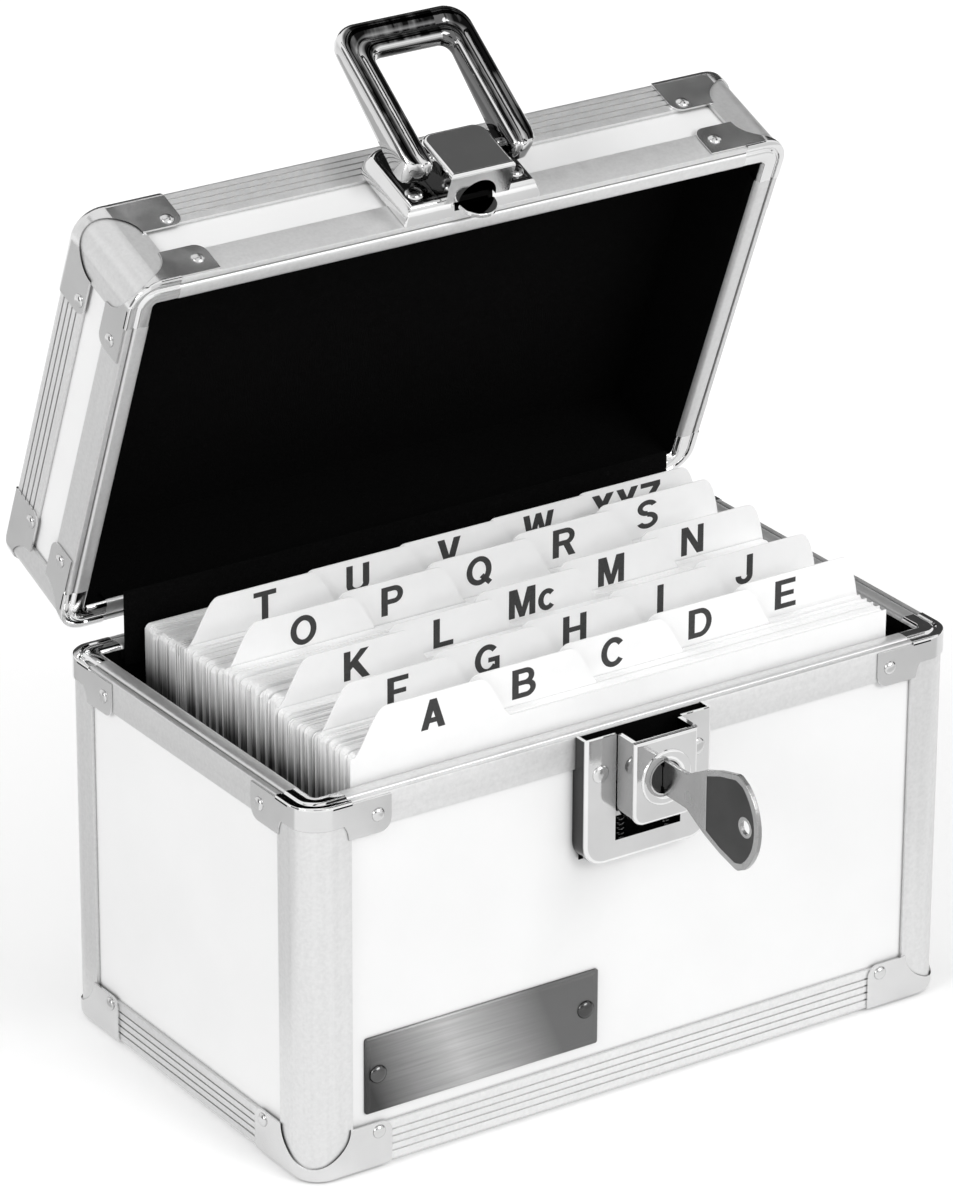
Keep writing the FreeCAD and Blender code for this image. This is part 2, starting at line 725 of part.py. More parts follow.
PLATE_FOOT = "(base_height - side_gap - lock_plate_height)"
SLIDE_BACK = "(lock_plate_depth + side_gap)"
EAR_BACK = "(lock_plate_depth - plate_wall - side_gap / 2 - ear_thickness)"


def lock_plate():
    body = new_body("lock_plate_body")
    half, back = "(lock_plate_width / 2)", "box_depth / 2 - frame_wall"
    pad(body, "lock_plate_block", "XZ_Plane",
        upright_outline(half, PLATE_FOOT, LOCK_TOP, "lock_plate_corner"),
        "lock_plate_depth + frame_wall", back)
    round_edges(body, "lock_plate_rounding", pressed_rim(front_at("lock_plate_depth"), LOCK_TOP),
                "plate_round")
    inner = upright_outline("(lock_plate_width / 2 - plate_wall)", PLATE_FOOT + " + plate_wall", LOCK_TOP,
                            "(lock_plate_corner - plate_wall)")
    pocket(body, "lock_plate_hollow", "XZ_Plane", inner, "lock_plate_depth + frame_wall - plate_wall",
           back, True)
    band_foot = "base_height - rim_band"
    behind = [("0 - " + half, band_foot), (half, band_foot), (half, LOCK_TOP), ("0 - " + half, LOCK_TOP)]
    pocket(body, "lock_plate_seat", "XZ_Plane", behind, "frame_wall", back, True)
    slot = "(slide_width / 2 + side_gap)"
    foot = SLIDE_FOOT + " - slide_travel - slot_spare"
    opening = [("0 - " + slot, foot), (slot, foot), (slot, LOCK_TOP), ("0 - " + slot, LOCK_TOP)]
    pocket(body, "lock_plate_slot", "XZ_Plane", opening, "lock_plate_depth", "box_depth / 2", True)
    return body


def lock_slide():
    body = new_body("lock_slide_block")
    lift, depth = "box_depth / 2 + " + SLIDE_BACK, "slide_front - " + SLIDE_BACK
    pad(body, "slide_cover", "XZ_Plane",
        upright_outline("(slide_width / 2)", SLIDE_FOOT, LOCK_TOP, "slide_corner"), depth, lift)
    round_edges(body, "slide_rounding", lambda edge: lies_at(edge, "Y", front_at("slide_front")),
                "slide_round")
    inner = upright_outline("(slide_width / 2 - slide_wall)", SLIDE_FOOT + " + slide_wall", LOCK_TOP,
                            "(slide_corner - slide_wall)")
    pocket(body, "slide_hollow", "XZ_Plane", inner, "slide_front - slide_wall - " + SLIDE_BACK, lift, True)
    housing = cylinder("slide_housing", "cylinder_radius + running_gap + cylinder_housing_wall",
                       "slide_front - slide_wall - %s - side_gap" % SLIDE_BACK, (0, -1, 0),
                       "0", front_at(SLIDE_BACK + " + side_gap"), CYLINDER_Z)
    shelf = front_box("slide_shelf", "slide_width / 2 - slide_corner", EAR_BACK, SLIDE_BACK + " + slide_wall",
                      SLIDE_FOOT, SLIDE_FOOT + " + slide_wall")
    ears = front_box("slide_ears", "ear_width / 2", EAR_BACK, EAR_BACK + " + ear_thickness",
                     SLIDE_FOOT, SLIDE_FOOT + " + ear_height")
    bore = cylinder("slide_bore", "cylinder_radius + running_gap", "slide_front", (0, -1, 0),
                    "0", front_at(SLIDE_BACK), CYLINDER_Z)
    return cut("slide_bored", fuse("slide_solid", [body, housing, shelf, ears]), bore)


CAM_FRONT = "(cam_clearance + cam_thickness)"


def key_cylinder():
    plug = cylinder("cylinder_plug", "cylinder_radius", "slide_front - cylinder_recess - " + CAM_FRONT,
                    (0, -1, 0), "0", front_at(CAM_FRONT), CYLINDER_Z)
    keyway = front_box("cylinder_keyway", "key_thickness / 2 + key_clearance",
                       "key_blade_start - side_gap", "slide_front",
                       CYLINDER_Z + " - key_blade_height / 2 - key_clearance",
                       CYLINDER_Z + " + key_blade_height / 2 + key_clearance")
    return cut("cylinder_cut", plug, keyway)


def lock_cam():
    plate = box("cam_plate", "cam_reach + cam_width / 2", "cam_thickness", "cam_width",
                "0 - cam_reach", front_at(CAM_FRONT), CYLINDER_Z + " - cam_width / 2")
    finger = box("cam_finger_block", "cam_finger", "cam_finger_depth", "cam_finger_width", "0 - cam_reach",
                 front_at(CAM_FRONT + " + cam_finger_depth"), CYLINDER_Z + " - cam_finger_width / 2")
    return fuse("cam_solid", [plate, finger])


def key():
    """Flat key, its bow upright and its blade pointing to the back."""
    body = new_body("key_body")
    shoulder, bow_start = "slide_front + key_neck", "slide_front + key_neck + key_bow_start"
    bow_wide, bow_end = bow_start + " + key_bow_spread", "slide_front + key_neck + key_bow_length"
    upper = [(front_at("key_blade_start"), "key_blade_height / 2"),
             (front_at("slide_front"), "key_blade_height / 2"),
             (front_at("slide_front"), "key_neck_height / 2"), (front_at(shoulder), "key_neck_height / 2"),
             (front_at(bow_start), "key_bow_height / 3"), (front_at(bow_wide), "key_bow_height / 2"),
             (front_at(bow_end), "key_bow_tip / 2")]
    lower = [(y, "0 - (%s)" % z) for y, z in reversed(upper)]
    pad(body, "key_sheet", "YZ_Plane", upper + lower, "key_thickness", midplane=True)

    def bow_corner(edge):
        across = edge.Length < value("key_thickness") + TINY
        return across and edge.BoundBox.YMax < value(front_at(bow_start)) + TINY

    round_edges(body, "key_bow_rounding", bow_corner, "key_bow_round")
    place(body, z=CYLINDER_Z)
    hole = cylinder("key_hole", "key_hole_radius", "2 * key_thickness", (1, 0, 0), "0 - key_thickness",
                    front_at(bow_end + " - key_hole_inset"), CYLINDER_Z)
    return cut("key_pierced", body, hole)


def return_spring(name, x):
    """Small coil spring between the lock plate's lower wall and the slide."""
    foot = PLATE_FOOT + " + plate_wall"
    coil = DOC.addObject("Part::Helix", name + "_coil")
    bind(coil, "Pitch", "spring_pitch")
    bind(coil, "Radius", "spring_radius")
    bind(coil, "Height", "%s - (%s) - 2 * spring_wire_radius" % (SLIDE_FOOT, foot))
    wire = DOC.addObject("Part::Circle", name + "_wire")
    bind(wire, "Radius", "spring_wire_radius")
    wire.Placement = Placement(Vector(), Rotation(Vector(1, 0, 0), 90))
    bind(wire, "Placement.Base.x", "spring_radius")
    sweep = DOC.addObject("Part::Sweep", name)
    sweep.Sections = [wire]
    sweep.Spine = (coil, [])
    sweep.Solid = True
    sweep.Frenet = True
    return place(sweep, x, front_at(EAR_BACK + " - side_gap"), foot + " + spring_wire_radius")


node("lock_plate", lock_plate())
rivet_z, rivet_x = "base_height - plate_rivet_drop", "plate_rivet_spacing / 2"
right_rivet = dome("plate_rivet", "plate_rivet_radius", "rivet_dome", (0, -1, 0), rivet_x,
                   front_at("lock_plate_depth"), rivet_z)
left_rivet = mirrored("plate_rivet_left", right_rivet, (1, 0, 0))
node("lock_rivets", group("plate_rivets", [right_rivet, left_rivet]))
node("lock_slide", lock_slide())
node("key_cylinder", key_cylinder())
node("lock_cam", lock_cam())
node("key", key())
node("return_springs", group("spring_pair", [return_spring("spring_left", "0 - spring_spacing / 2"),
                                             return_spring("spring_right", "spring_spacing / 2")]))


# Latch and carrying handle on the lid, in the closed position


def latch_plate():
    body = new_body("latch_plate_body")
    foot, top = "(base_height + side_gap)", "(base_height + side_gap + latch_plate_height)"
    half = "(latch_plate_width / 2)"
    outline = [("0 - " + half, foot), (half, foot), (half, top, "latch_plate_corner"),
               ("0 - " + half, top, "latch_plate_corner")]
    pad(body, "latch_plate_sheet", "XZ_Plane", outline, "latch_plate_depth", "box_depth / 2")
    low, high = "(base_height + rim_band)", "(base_height + lid_height - cap_sheet - edge_band)"
    packing = [("0 - " + half, low), (half, low), (half, high), ("0 - " + half, high)]
    pad(body, "latch_plate_packing", "XZ_Plane", packing, "frame_wall", "box_depth / 2 - frame_wall")
    round_edges(body, "latch_plate_rounding", pressed_rim(front_at("latch_plate_depth"), foot), "plate_round")
    return body


def latch_block():
    body = new_body("latch_block_body")
    foot = "(base_height + latch_block_lift)"
    top = "(base_height + latch_block_lift + latch_block_height)"
    half, lift = "(latch_block_width / 2)", "box_depth / 2 + latch_plate_depth"
    outline = [("0 - " + half, foot), (half, foot), (half, top, "latch_block_corner"),
               ("0 - " + half, top, "latch_block_corner")]
    pad(body, "latch_block_cover", "XZ_Plane", outline, "latch_block_front - latch_plate_depth", lift)

    round_edges(body, "latch_block_rounding", lambda edge: lies_at(edge, "Y", front_at("latch_block_front")),
                "latch_block_round")
    inner_half = "(latch_block_width / 2 - latch_block_wall)"
    inner_corner = "(latch_block_corner - latch_block_wall)"
    inner = [("0 - " + inner_half, foot + " + latch_block_wall"), (inner_half, foot + " + latch_block_wall"),
             (inner_half, top + " - latch_block_wall", inner_corner),
             ("0 - " + inner_half, top + " - latch_block_wall", inner_corner)]
    pocket(body, "latch_block_hollow", "XZ_Plane", inner,
           "latch_block_front - latch_plate_depth - latch_block_wall", lift, True)
    notch = cylinder("latch_notch", "tongue_width / 2 + side_gap", "2 * latch_block_wall", (0, 0, 1), "0",
                     front_at("latch_plate_depth"), foot + " - latch_block_wall / 2")
    bore = cylinder("latch_pin_bore", "handle_pin_radius", "latch_block_width", (1, 0, 0), "0 - " + half,
                    front_at("pivot_front"), "base_height + pivot_rise")
    return cut("latch_block_bored", cut("latch_block_notched", body, notch), bore)


def latch_tongue():
    """Round-ended tongue below the latch plate, with a notch for the lock's cam."""
    body = new_body("latch_tongue_body")
    half, tip, top = "(tongue_width / 2)", "(base_height - tongue_drop)", "(base_height + side_gap)"
    outline = [("0 - " + half, tip, "tongue_corner"), (half, tip, "tongue_corner"), (half, top),
               ("0 - " + half, top)]
    pad(body, "tongue_sheet", "XZ_Plane", outline, "tongue_thickness", "box_depth / 2 + tongue_back")
    notch = box("tongue_notch", "tongue_width / 2 + catch_width", "2 * tongue_thickness",
                "catch_foot - catch_top", "0 - " + half, front_at("tongue_back + 3 * tongue_thickness / 2"),
                "base_height - catch_foot")
    return cut("tongue_notched", body, notch)


def handle():
    """Bail with its pivot at the origin and its cross bar above."""
    body = new_body("handle_body")
    outer, inner = "(handle_width / 2)", "(latch_block_width / 2 + handle_side_gap)"
    heel, window = "(0 - handle_heel)", "handle_window"
    outline = [("0 - " + outer, heel, "handle_heel_corner"), ("0 - " + inner, heel, "handle_heel_inner"),
               ("0 - " + inner, window, "handle_window_corner"), (inner, window, "handle_window_corner"),
               (inner, heel, "handle_heel_inner"), (outer, heel, "handle_heel_corner"),
               (outer, "handle_length", "handle_corner"), ("0 - " + outer, "handle_length", "handle_corner")]
    pad(body, "handle_bar", "XZ_Plane", outline, "handle_front + handle_back", "0 - handle_back")
    behind = [("handle_back", heel), ("handle_back", "handle_length"),
              ("handle_back - handle_taper", "handle_length")]
    pocket(body, "handle_slope", "YZ_Plane", behind, "handle_width", midplane=True)

    def face_edges(edge):
        return max(edge.BoundBox.XLength, edge.BoundBox.ZLength) > TINY

    round_edges(body, "handle_rounding", face_edges, "handle_round")
    bore = cylinder("handle_bore", "handle_pin_radius + running_gap", "handle_pin_length + 2 * side_gap",
                    (1, 0, 0), "0 - handle_pin_length / 2 - side_gap")
    return cut("handle_bored", body, bore)


PIVOT_Y = "(0 - box_depth / 2 - pivot_front)"
PIVOT_Z = "(base_height + pivot_rise)"
lid_node("latch_plate", latch_plate())
lid_node("latch_block", latch_block())
lid_node("latch_tongue", latch_tongue())
lid_node("handle", handle(), PIVOT_Y, PIVOT_Z, "lid_open_angle - handle_lean")
lid_node("handle_pin", cylinder("bail_pin", "handle_pin_radius", "handle_pin_length", (1, 0, 0),
                                "0 - handle_pin_length / 2", PIVOT_Y, PIVOT_Z))


# Nameplate


def nameplate():
    left = "0 - box_width / 2 + nameplate_left"
    back = "0 - frame_wall"
    plate = box("nameplate_sheet", "nameplate_width", "nameplate_thickness", "nameplate_height", left,
                front_at(back + " + nameplate_thickness"), "nameplate_bottom")
    heads = [dome("nameplate_rivet_%d" % index, "rivet_radius", "rivet_dome", (0, -1, 0), x,
                  front_at(back + " + nameplate_thickness"), "nameplate_bottom + nameplate_height / 2")
             for index, x in enumerate((left + " + nameplate_rivet_inset",
                                        left + " + nameplate_width - nameplate_rivet_inset"))]
    return group("nameplate_riveted", [plate] + heads)


node("nameplate", nameplate())


# Cards and tabbed guides, five guides to a row and cards behind each guide

TABS = 5
ROWS = (("a_to_e", "card_height_front", "row_share_front", "guide_share"),
        ("f_to_j", "card_height_second", "row_share_second", "guide_share"),
        ("k_to_n", "card_height_middle", "row_share_middle", "guide_share"),
        ("o_to_s", "card_height_fourth", "row_share_fourth", "guide_share"),
        ("t_to_z", "card_height_back", "row_share_back", "guide_share_back"))
CARDS_LEFT = "(file_left - box_width / 2)"
CARD_WIDTH = "(box_width - file_left - file_right)"
FILE_DEPTH = "(box_depth - file_start - file_end)"


def guide(index):
    """Guide with its tab at the given place from the left, its face on the middle plane."""
    body = new_body("guide_%d" % index)
    tab_step = "(%s - 2 * tab_inset - tab_width) / %d" % (CARD_WIDTH, TABS - 1)
    left = "%s + tab_inset + %d * %s" % (CARDS_LEFT, index, tab_step)
    right = left + " + tab_width"
    foot, shoulder, top = FLOOR, FLOOR + " + guide_body", FLOOR + " + guide_body + tab_height"
    cards_right = CARDS_LEFT + " + " + CARD_WIDTH
    outline = [(CARDS_LEFT, foot), (cards_right, foot), (cards_right, shoulder), (right, shoulder),
               (right + " - tab_slope", top), (left + " + tab_slope", top), (left, shoulder),
               (CARDS_LEFT, shoulder)]
    pad(body, "guide_sheet_%d" % index, "XZ_Plane", outline, "guide_thickness", "0 - guide_thickness")

    def tab_corner(edge):
        return lies_at(edge, "Z", top) and edge.Length < value("guide_thickness") + TINY

    round_edges(body, "guide_corners_%d" % index, tab_corner, "tab_corner")
    return body


def guide_face(row, index):
    """Front face of a guide: the rows before its own, then the guides before it in its row."""
    share, step = ROWS[row][2:]
    before = " + ".join(["0"] + [entry[2] for entry in ROWS[:row]])
    return "(file_start - box_depth / 2 + (%s + %d * %s * %s) * %s)" % (before, index, share, step, FILE_DEPTH)


def card_pack(row, index, height):
    """Cards between a guide and the next one, or the end of its row."""
    start = guide_face(row, index) + " + guide_thickness + card_gap"
    if index < TABS - 1:
        end = guide_face(row, index + 1)
    else:
        shares = " + ".join(entry[2] for entry in ROWS[:row + 1])
        end = "(file_start - box_depth / 2 + (%s) * %s)" % (shares, FILE_DEPTH)
    return box("cards_%d_%d" % (row, index), CARD_WIDTH, "%s - card_gap - (%s)" % (end, start), height,
               CARDS_LEFT, start, FLOOR)


def guide_in_row(row, index):
    """Copy of a guide at its own place in the file."""
    return place(group("guide_%d_%d" % (row, index), [GUIDES[index]]), y=guide_face(row, index))


GUIDES = [guide(index) for index in range(TABS)]
for row, (letters, height, _share, _step) in enumerate(ROWS):
    guides = [guide_in_row(row, index) for index in range(TABS)]
    node("guides_" + letters, group("guide_row_%d" % row, guides))
    packs = [card_pack(row, index, height) for index in range(TABS)]
    node("index_cards_" + letters, group("card_row_%d" % row, packs))


def finish_model():
    """Checks every object and writes one STEP file for each named piece."""
    DOC.recompute()
    for thing in DOC.Objects:
        if "Invalid" in thing.State or "Error" in thing.State:
            raise RuntimeError("%s failed: %s" % (thing.Name, thing.State))
    os.makedirs("parts", exist_ok=True)
    for label, thing in NODES.items():
        shape = thing.Shape
        if shape.isNull() or not shape.isValid() or not shape.Solids:
            raise RuntimeError(label + " has no valid solid")
        shape.exportStep("parts/%s.step" % label)


finish_model()
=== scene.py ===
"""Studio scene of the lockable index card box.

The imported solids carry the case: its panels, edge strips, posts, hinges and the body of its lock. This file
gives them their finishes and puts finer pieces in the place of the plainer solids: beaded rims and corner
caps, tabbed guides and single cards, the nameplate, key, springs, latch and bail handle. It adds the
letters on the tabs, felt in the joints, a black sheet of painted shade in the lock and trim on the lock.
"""
import math
import random

import bmesh
import bpy
from mathutils import Matrix, Vector


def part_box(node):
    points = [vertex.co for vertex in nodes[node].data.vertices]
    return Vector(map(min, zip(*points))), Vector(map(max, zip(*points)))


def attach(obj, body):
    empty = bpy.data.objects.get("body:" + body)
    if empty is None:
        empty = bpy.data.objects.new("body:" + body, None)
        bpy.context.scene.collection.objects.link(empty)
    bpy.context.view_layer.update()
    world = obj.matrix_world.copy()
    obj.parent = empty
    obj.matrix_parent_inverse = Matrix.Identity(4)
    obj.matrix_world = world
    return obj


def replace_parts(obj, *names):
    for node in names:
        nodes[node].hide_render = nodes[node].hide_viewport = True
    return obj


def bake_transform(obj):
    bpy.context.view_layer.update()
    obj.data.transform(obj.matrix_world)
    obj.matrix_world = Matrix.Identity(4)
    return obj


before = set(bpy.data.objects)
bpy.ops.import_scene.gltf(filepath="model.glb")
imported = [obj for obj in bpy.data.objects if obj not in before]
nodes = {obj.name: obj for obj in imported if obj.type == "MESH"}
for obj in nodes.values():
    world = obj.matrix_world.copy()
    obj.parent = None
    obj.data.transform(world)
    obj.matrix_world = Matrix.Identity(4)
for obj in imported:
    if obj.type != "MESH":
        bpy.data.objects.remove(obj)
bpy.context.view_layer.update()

scene = bpy.context.scene
MM = 0.001
BOX_MIDDLE = Vector((0, 0, 0.1))
FLOOR_AT, FLOOR_FLAG_AT = -0.0002, 0.0004


# Camera, floor and light

def link_piece(name, data):
    """New object of the scene."""
    piece = bpy.data.objects.new(name, data)
    scene.collection.objects.link(piece)
    return piece


CAMERA_AT = Vector((-0.7764, -1.1446, 0.7248))
LENS, SHIFT_X, SHIFT_Y = 190.42, 0.0244, 0.0377
CAMERA_AZIMUTH = math.radians(-33.528)
CAMERA_ELEVATION = math.radians(24.466)
CAMERA_ROLL = math.radians(0.107)

camera_data = bpy.data.cameras.new("camera")
camera_data.lens, camera_data.shift_x, camera_data.shift_y = LENS, SHIFT_X, SHIFT_Y
camera = link_piece("camera", camera_data)
scene.camera = camera
turned = (Matrix.Rotation(CAMERA_AZIMUTH, 4, "Z") @ Matrix.Rotation(math.pi / 2 - CAMERA_ELEVATION, 4, "X")
          @ Matrix.Rotation(CAMERA_ROLL, 4, "Z"))
camera.matrix_world = Matrix.Translation(CAMERA_AT) @ turned


def aimed(place, direction):
    """Frame at a place whose Z points in a direction."""
    return Matrix.Translation(place) @ Vector(direction).to_track_quat("Z", "Y").to_matrix().to_4x4()


def flat_panel(name, width, height, place, facing):
    """Flat rectangle of the studio, its face turned to a direction."""
    mesh = bpy.data.meshes.new(name)
    x, y = width / 2, height / 2
    mesh.from_pydata([(-x, -y, 0), (x, -y, 0), (x, y, 0), (-x, y, 0)], [], [(0, 1, 2, 3)])
    panel = link_piece(name, mesh)
    panel.matrix_world = aimed(place, facing)
    return panel


def lamp(name, width, height, place, power):
    """Soft rectangular lamp aimed at the middle of the box."""
    data = bpy.data.lights.new(name, "AREA")
    data.shape = "RECTANGLE"
    data.size, data.size_y = width, height
    data.energy = power
    link_piece(name, data).matrix_world = aimed(place, Vector(place) - BOX_MIDDLE)


NUMBERS, VECTORS = "ShaderNodeMath", "ShaderNodeVectorMath"


def feed(tree, socket, given):
    """Gives a socket a plain value or another node's output."""
    if isinstance(given, bpy.types.NodeSocket):
        tree.links.new(given, socket)
    else:
        socket.default_value = given


def combined(tree, kind, operation, first, second, output=0):
    """Output of a new node that works on two inputs."""
    node = tree.nodes.new(kind)
    node.operation = operation
    feed(tree, node.inputs[0], first)
    feed(tree, node.inputs[1], second)
    return node.outputs[output]


def mapped(tree, value, **ends):
    """A value moved from one range into another: the ends are from_min, from_max, to_min and to_max."""
    node = tree.nodes.new("ShaderNodeMapRange")
    feed(tree, node.inputs["Value"], value)
    for end, given in ends.items():
        feed(tree, node.inputs[end.replace("_", " ").title()], given)
    return node.outputs["Result"]


def seen_rays(tree):
    """1 for what the camera sees straight on, in metal or through glass, and 0 for the light sent out."""
    path = tree.nodes.new("ShaderNodeLightPath")
    seen = path.outputs["Is Camera Ray"]
    for ray in ("Is Glossy Ray", "Is Transmission Ray"):
        seen = combined(tree, NUMBERS, "MAXIMUM", seen, path.outputs[ray])
    return seen


def light_world(seen, sent):
    """White surroundings, as bright as seen to the camera and as sent to the object."""
    world = bpy.data.worlds.new("studio")
    scene.world = world
    world.use_nodes = True
    tree = world.node_tree
    background = tree.nodes["Background"]
    background.inputs["Color"].default_value = (1, 1, 1, 1)
    feed(tree, background.inputs["Strength"], mapped(tree, seen_rays(tree), to_min=sent, to_max=seen))


def matt_grey(name, shade, roughness, specular):
    """Plain grey material of the studio, with its shader."""
    material = bpy.data.materials.new(name)
    material.use_nodes = True
    shader = material.node_tree.nodes["Principled BSDF"]
    shader.inputs["Base Color"].default_value = (shade, shade, shade, 1)
    shader.inputs["Roughness"].default_value = roughness
    shader.inputs["Specular IOR Level"].default_value = specular
    return material, shader


def floor_finish(front, back, least, most):
    """Pale floor that looks lighter from front to back, by a lift that sends the object no light."""
    material, shader = matt_grey("studio_floor", 0.93, 0.9, 0.1)
    tree = material.node_tree
    place = tree.nodes.new("ShaderNodeNewGeometry")
    parts = tree.nodes.new("ShaderNodeSeparateXYZ")
    tree.links.new(place.outputs["Position"], parts.inputs["Vector"])
    lift = mapped(tree, parts.outputs["Y"], from_min=front, from_max=back, to_min=least, to_max=most)
    shader.inputs["Emission Color"].default_value = (1, 1, 1, 1)
    strength = combined(tree, NUMBERS, "MULTIPLY", seen_rays(tree), lift)
    feed(tree, shader.inputs["Emission Strength"], strength)
    return material


def hide_from_all_but_metal(board, shade):
    """Makes a board matt grey, and seen only where polished metal mirrors it."""
    board.data.materials.append(matt_grey(board.name + "_shade", shade, 1, 0)[0])
    board.visible_camera = False
    board.visible_diffuse = False
    board.visible_shadow = False
    board.visible_transmission = False


def flag(name, width, height, direction, distance, shade):
    """Board that only polished metal mirrors, to break up its white surroundings."""
    place = Vector(direction).normalized() * distance + BOX_MIDDLE
    hide_from_all_but_metal(flat_panel(name, width, height, place, -Vector(direction)), shade)


def floor_flag(name, low, high, shade):
    """The same, lying on the floor between two corners."""
    place = ((low[0] + high[0]) / 2, (low[1] + high[1]) / 2, FLOOR_FLAG_AT)
    board = flat_panel(name, high[0] - low[0], high[1] - low[1], place, (0, 0, 1))
    hide_from_all_but_metal(board, shade)


floor = flat_panel("floor", 12, 12, (0, 0, FLOOR_AT), (0, 0, 1))
floor.data.materials.append(floor_finish(-0.06, 0.30, 0.15, 0.36))
light_world(seen=1.0, sent=0.60)
lamp("key_lamp", 1.2, 1.2, (0.7, -2.3, 1.5), 30)
lamp("side_lamp", 1.0, 1.0, (-2.2, -0.4, 1.2), 20)
flag("flag_over_lid", 0.56, 0.44, (0.50, 0.30, 0.81), 1.5, 0.12)
flag("flag_over_handle", 0.60, 0.34, (0.50, -0.17, 0.85), 1.49, 0.02)
flag("flag_strip_top", 1.3, 0.17, (0.02, -0.05, 1.0), 1.5, 0.03)
flag("flag_strip_left", 1.3, 0.16, (-0.45, -0.05, 0.89), 1.5, 0.03)
flag("flag_strip_low", 1.6, 0.14, (-0.85, -0.10, 0.52), 1.5, 0.05)
flag("flag_behind_camera", 1.0, 0.5, (-0.40, -0.85, 0.35), 2.2, 0.04)
flag("flag_right", 0.5, 0.8, (0.97, -0.20, 0.12), 1.3, 0.05)
flag("flag_behind_right", 1.8, 1.0, (0.503, 0.759, 0.414), 1.4, 0.06)
flag("flag_beside", 0.5, 1.4, (-0.93, 0.20, -0.02), 0.9, 0.20)
floor_flag("flag_floor_left", (-0.60, 0.02), (-0.105, 0.60), 0.77)
floor_flag("flag_floor_front", (0.02, -0.62), (0.62, -0.13), 0.80)


# Shared effects

SOCKETS = {1: "NodeSocketFloat", 3: "NodeSocketVector", 4: "NodeSocketColor"}
ANYWHERE = (0, 0, 0)


def effect(name, result="Value", **inputs):
    """Empty shader node group with one result: the group, its inputs by name and the result's socket.

    Each input comes with its default: a number, a vector or a colour.
    """
    group = bpy.data.node_groups.new(name, "ShaderNodeTree")
    for label, default in inputs.items():
        size = len(default) if isinstance(default, tuple) else 1
        socket = group.interface.new_socket(name=label, in_out="INPUT", socket_type=SOCKETS[size])
        socket.default_value = default
    kind = SOCKETS[4 if result == "Color" else 1]
    group.interface.new_socket(name=result, in_out="OUTPUT", socket_type=kind)
    given = group.nodes.new("NodeGroupInput")
    out = group.nodes.new("NodeGroupOutput")
    return group, given.outputs, out.inputs[result]


def grain_effect():
    """Fine noise, pulled out along an axis by the scaling of the vector that comes in."""
    group, given, result = effect("grain", Vector=ANYWHERE, Scale=100.0, Low=0.0, High=1.0)
    noise = group.nodes.new("ShaderNodeTexNoise")
    noise.inputs["Detail"].default_value = 3
    feed(group, noise.inputs["Vector"], given["Vector"])
    feed(group, noise.inputs["Scale"], given["Scale"])
    value = mapped(group, noise.outputs["Fac"], from_min=0.3, from_max=0.7, to_min=given["Low"],
                   to_max=given["High"])
    feed(group, result, value)
    return group


def tint_effect():
    """A colour that wanders between two shades."""
    group, given, result = effect("two_shades", "Color", Value=0.5, Dark=(0.4, 0.4, 0.4, 1),
                                  Light=(0.8, 0.8, 0.8, 1))
    mix = group.nodes.new("ShaderNodeMix")
    mix.data_type = "RGBA"
    for socket, label in (("Factor", "Value"), ("A", "Dark"), ("B", "Light")):
        feed(group, mix.inputs[socket], given[label])
    feed(group, result, mix.outputs["Result"])
    return group


def painted_crease_shade_effect():
    """Painted shade mask: 1 on open surfaces, falling towards 0 in creases, grooves and corners."""
    group, given, result = effect("painted_crease_shade", Reach=0.001)
    near = group.nodes.new("ShaderNodeAmbientOcclusion")
    near.samples = 6
    feed(group, near.inputs["Distance"], given["Reach"])
    feed(group, result, mapped(group, near.outputs["AO"], from_min=0.2, from_max=0.8))
    return group


def slope_effect():
    """0 to 1 between two places along one axis of the vector that comes in."""
    group, given, result = effect("slope", Vector=ANYWHERE, Axis=(0, 0, 1), Start=0.0, End=1.0)
    along = combined(group, VECTORS, "DOT_PRODUCT", given["Vector"], given["Axis"], "Value")
    feed(group, result, mapped(group, along, from_min=given["Start"], from_max=given["End"]))
    return group


def inside_effect():
    """1 inside a box given by two of its corners, 0 outside."""
    group, given, result = effect("inside_box", Vector=ANYWHERE, Low=(0, 0, 0), High=(1, 1, 1))
    past_low = combined(group, VECTORS, "SUBTRACT", given["Vector"], given["Low"])
    before_high = combined(group, VECTORS, "SUBTRACT", given["High"], given["Vector"])
    parts = group.nodes.new("ShaderNodeSeparateXYZ")
    feed(group, parts.inputs[0], combined(group, VECTORS, "MINIMUM", past_low, before_high))
    least = parts.outputs["X"]
    for axis in "YZ":
        least = combined(group, NUMBERS, "MINIMUM", least, parts.outputs[axis])
    feed(group, result, combined(group, NUMBERS, "GREATER_THAN", least, 0.0))
    return group


GRAIN = grain_effect()
TWO_SHADES = tint_effect()
PAINTED_CREASE_SHADE = painted_crease_shade_effect()
SLOPE = slope_effect()
INSIDE = inside_effect()


# Sizes of the case, in mm, and how far its lid and its handle lean back

HALF_WIDTH, HALF_DEPTH, JOINT = 92.0, 54.0, 97.5
KEYHOLE = 86.7
HINGE = Vector((0, HALF_DEPTH + 3.0, JOINT)) * MM
LID_TILT = math.radians(68.5)
LID_OUT = Vector((0, -math.cos(LID_TILT), math.sin(LID_TILT)))
SWING = Matrix.Translation(HINGE) @ Matrix.Rotation(-LID_TILT, 4, "X") @ Matrix.Translation(-HINGE)
BAIL_LEAN = math.radians(53.5)
BAIL_UP = Vector((0, math.sin(BAIL_LEAN), math.cos(BAIL_LEAN)))
BAIL_OUT = Vector((0, -math.cos(BAIL_LEAN), math.sin(BAIL_LEAN)))
LEFT, UP = (-1, 0, 0), (0, 0, 1)


# Finishes

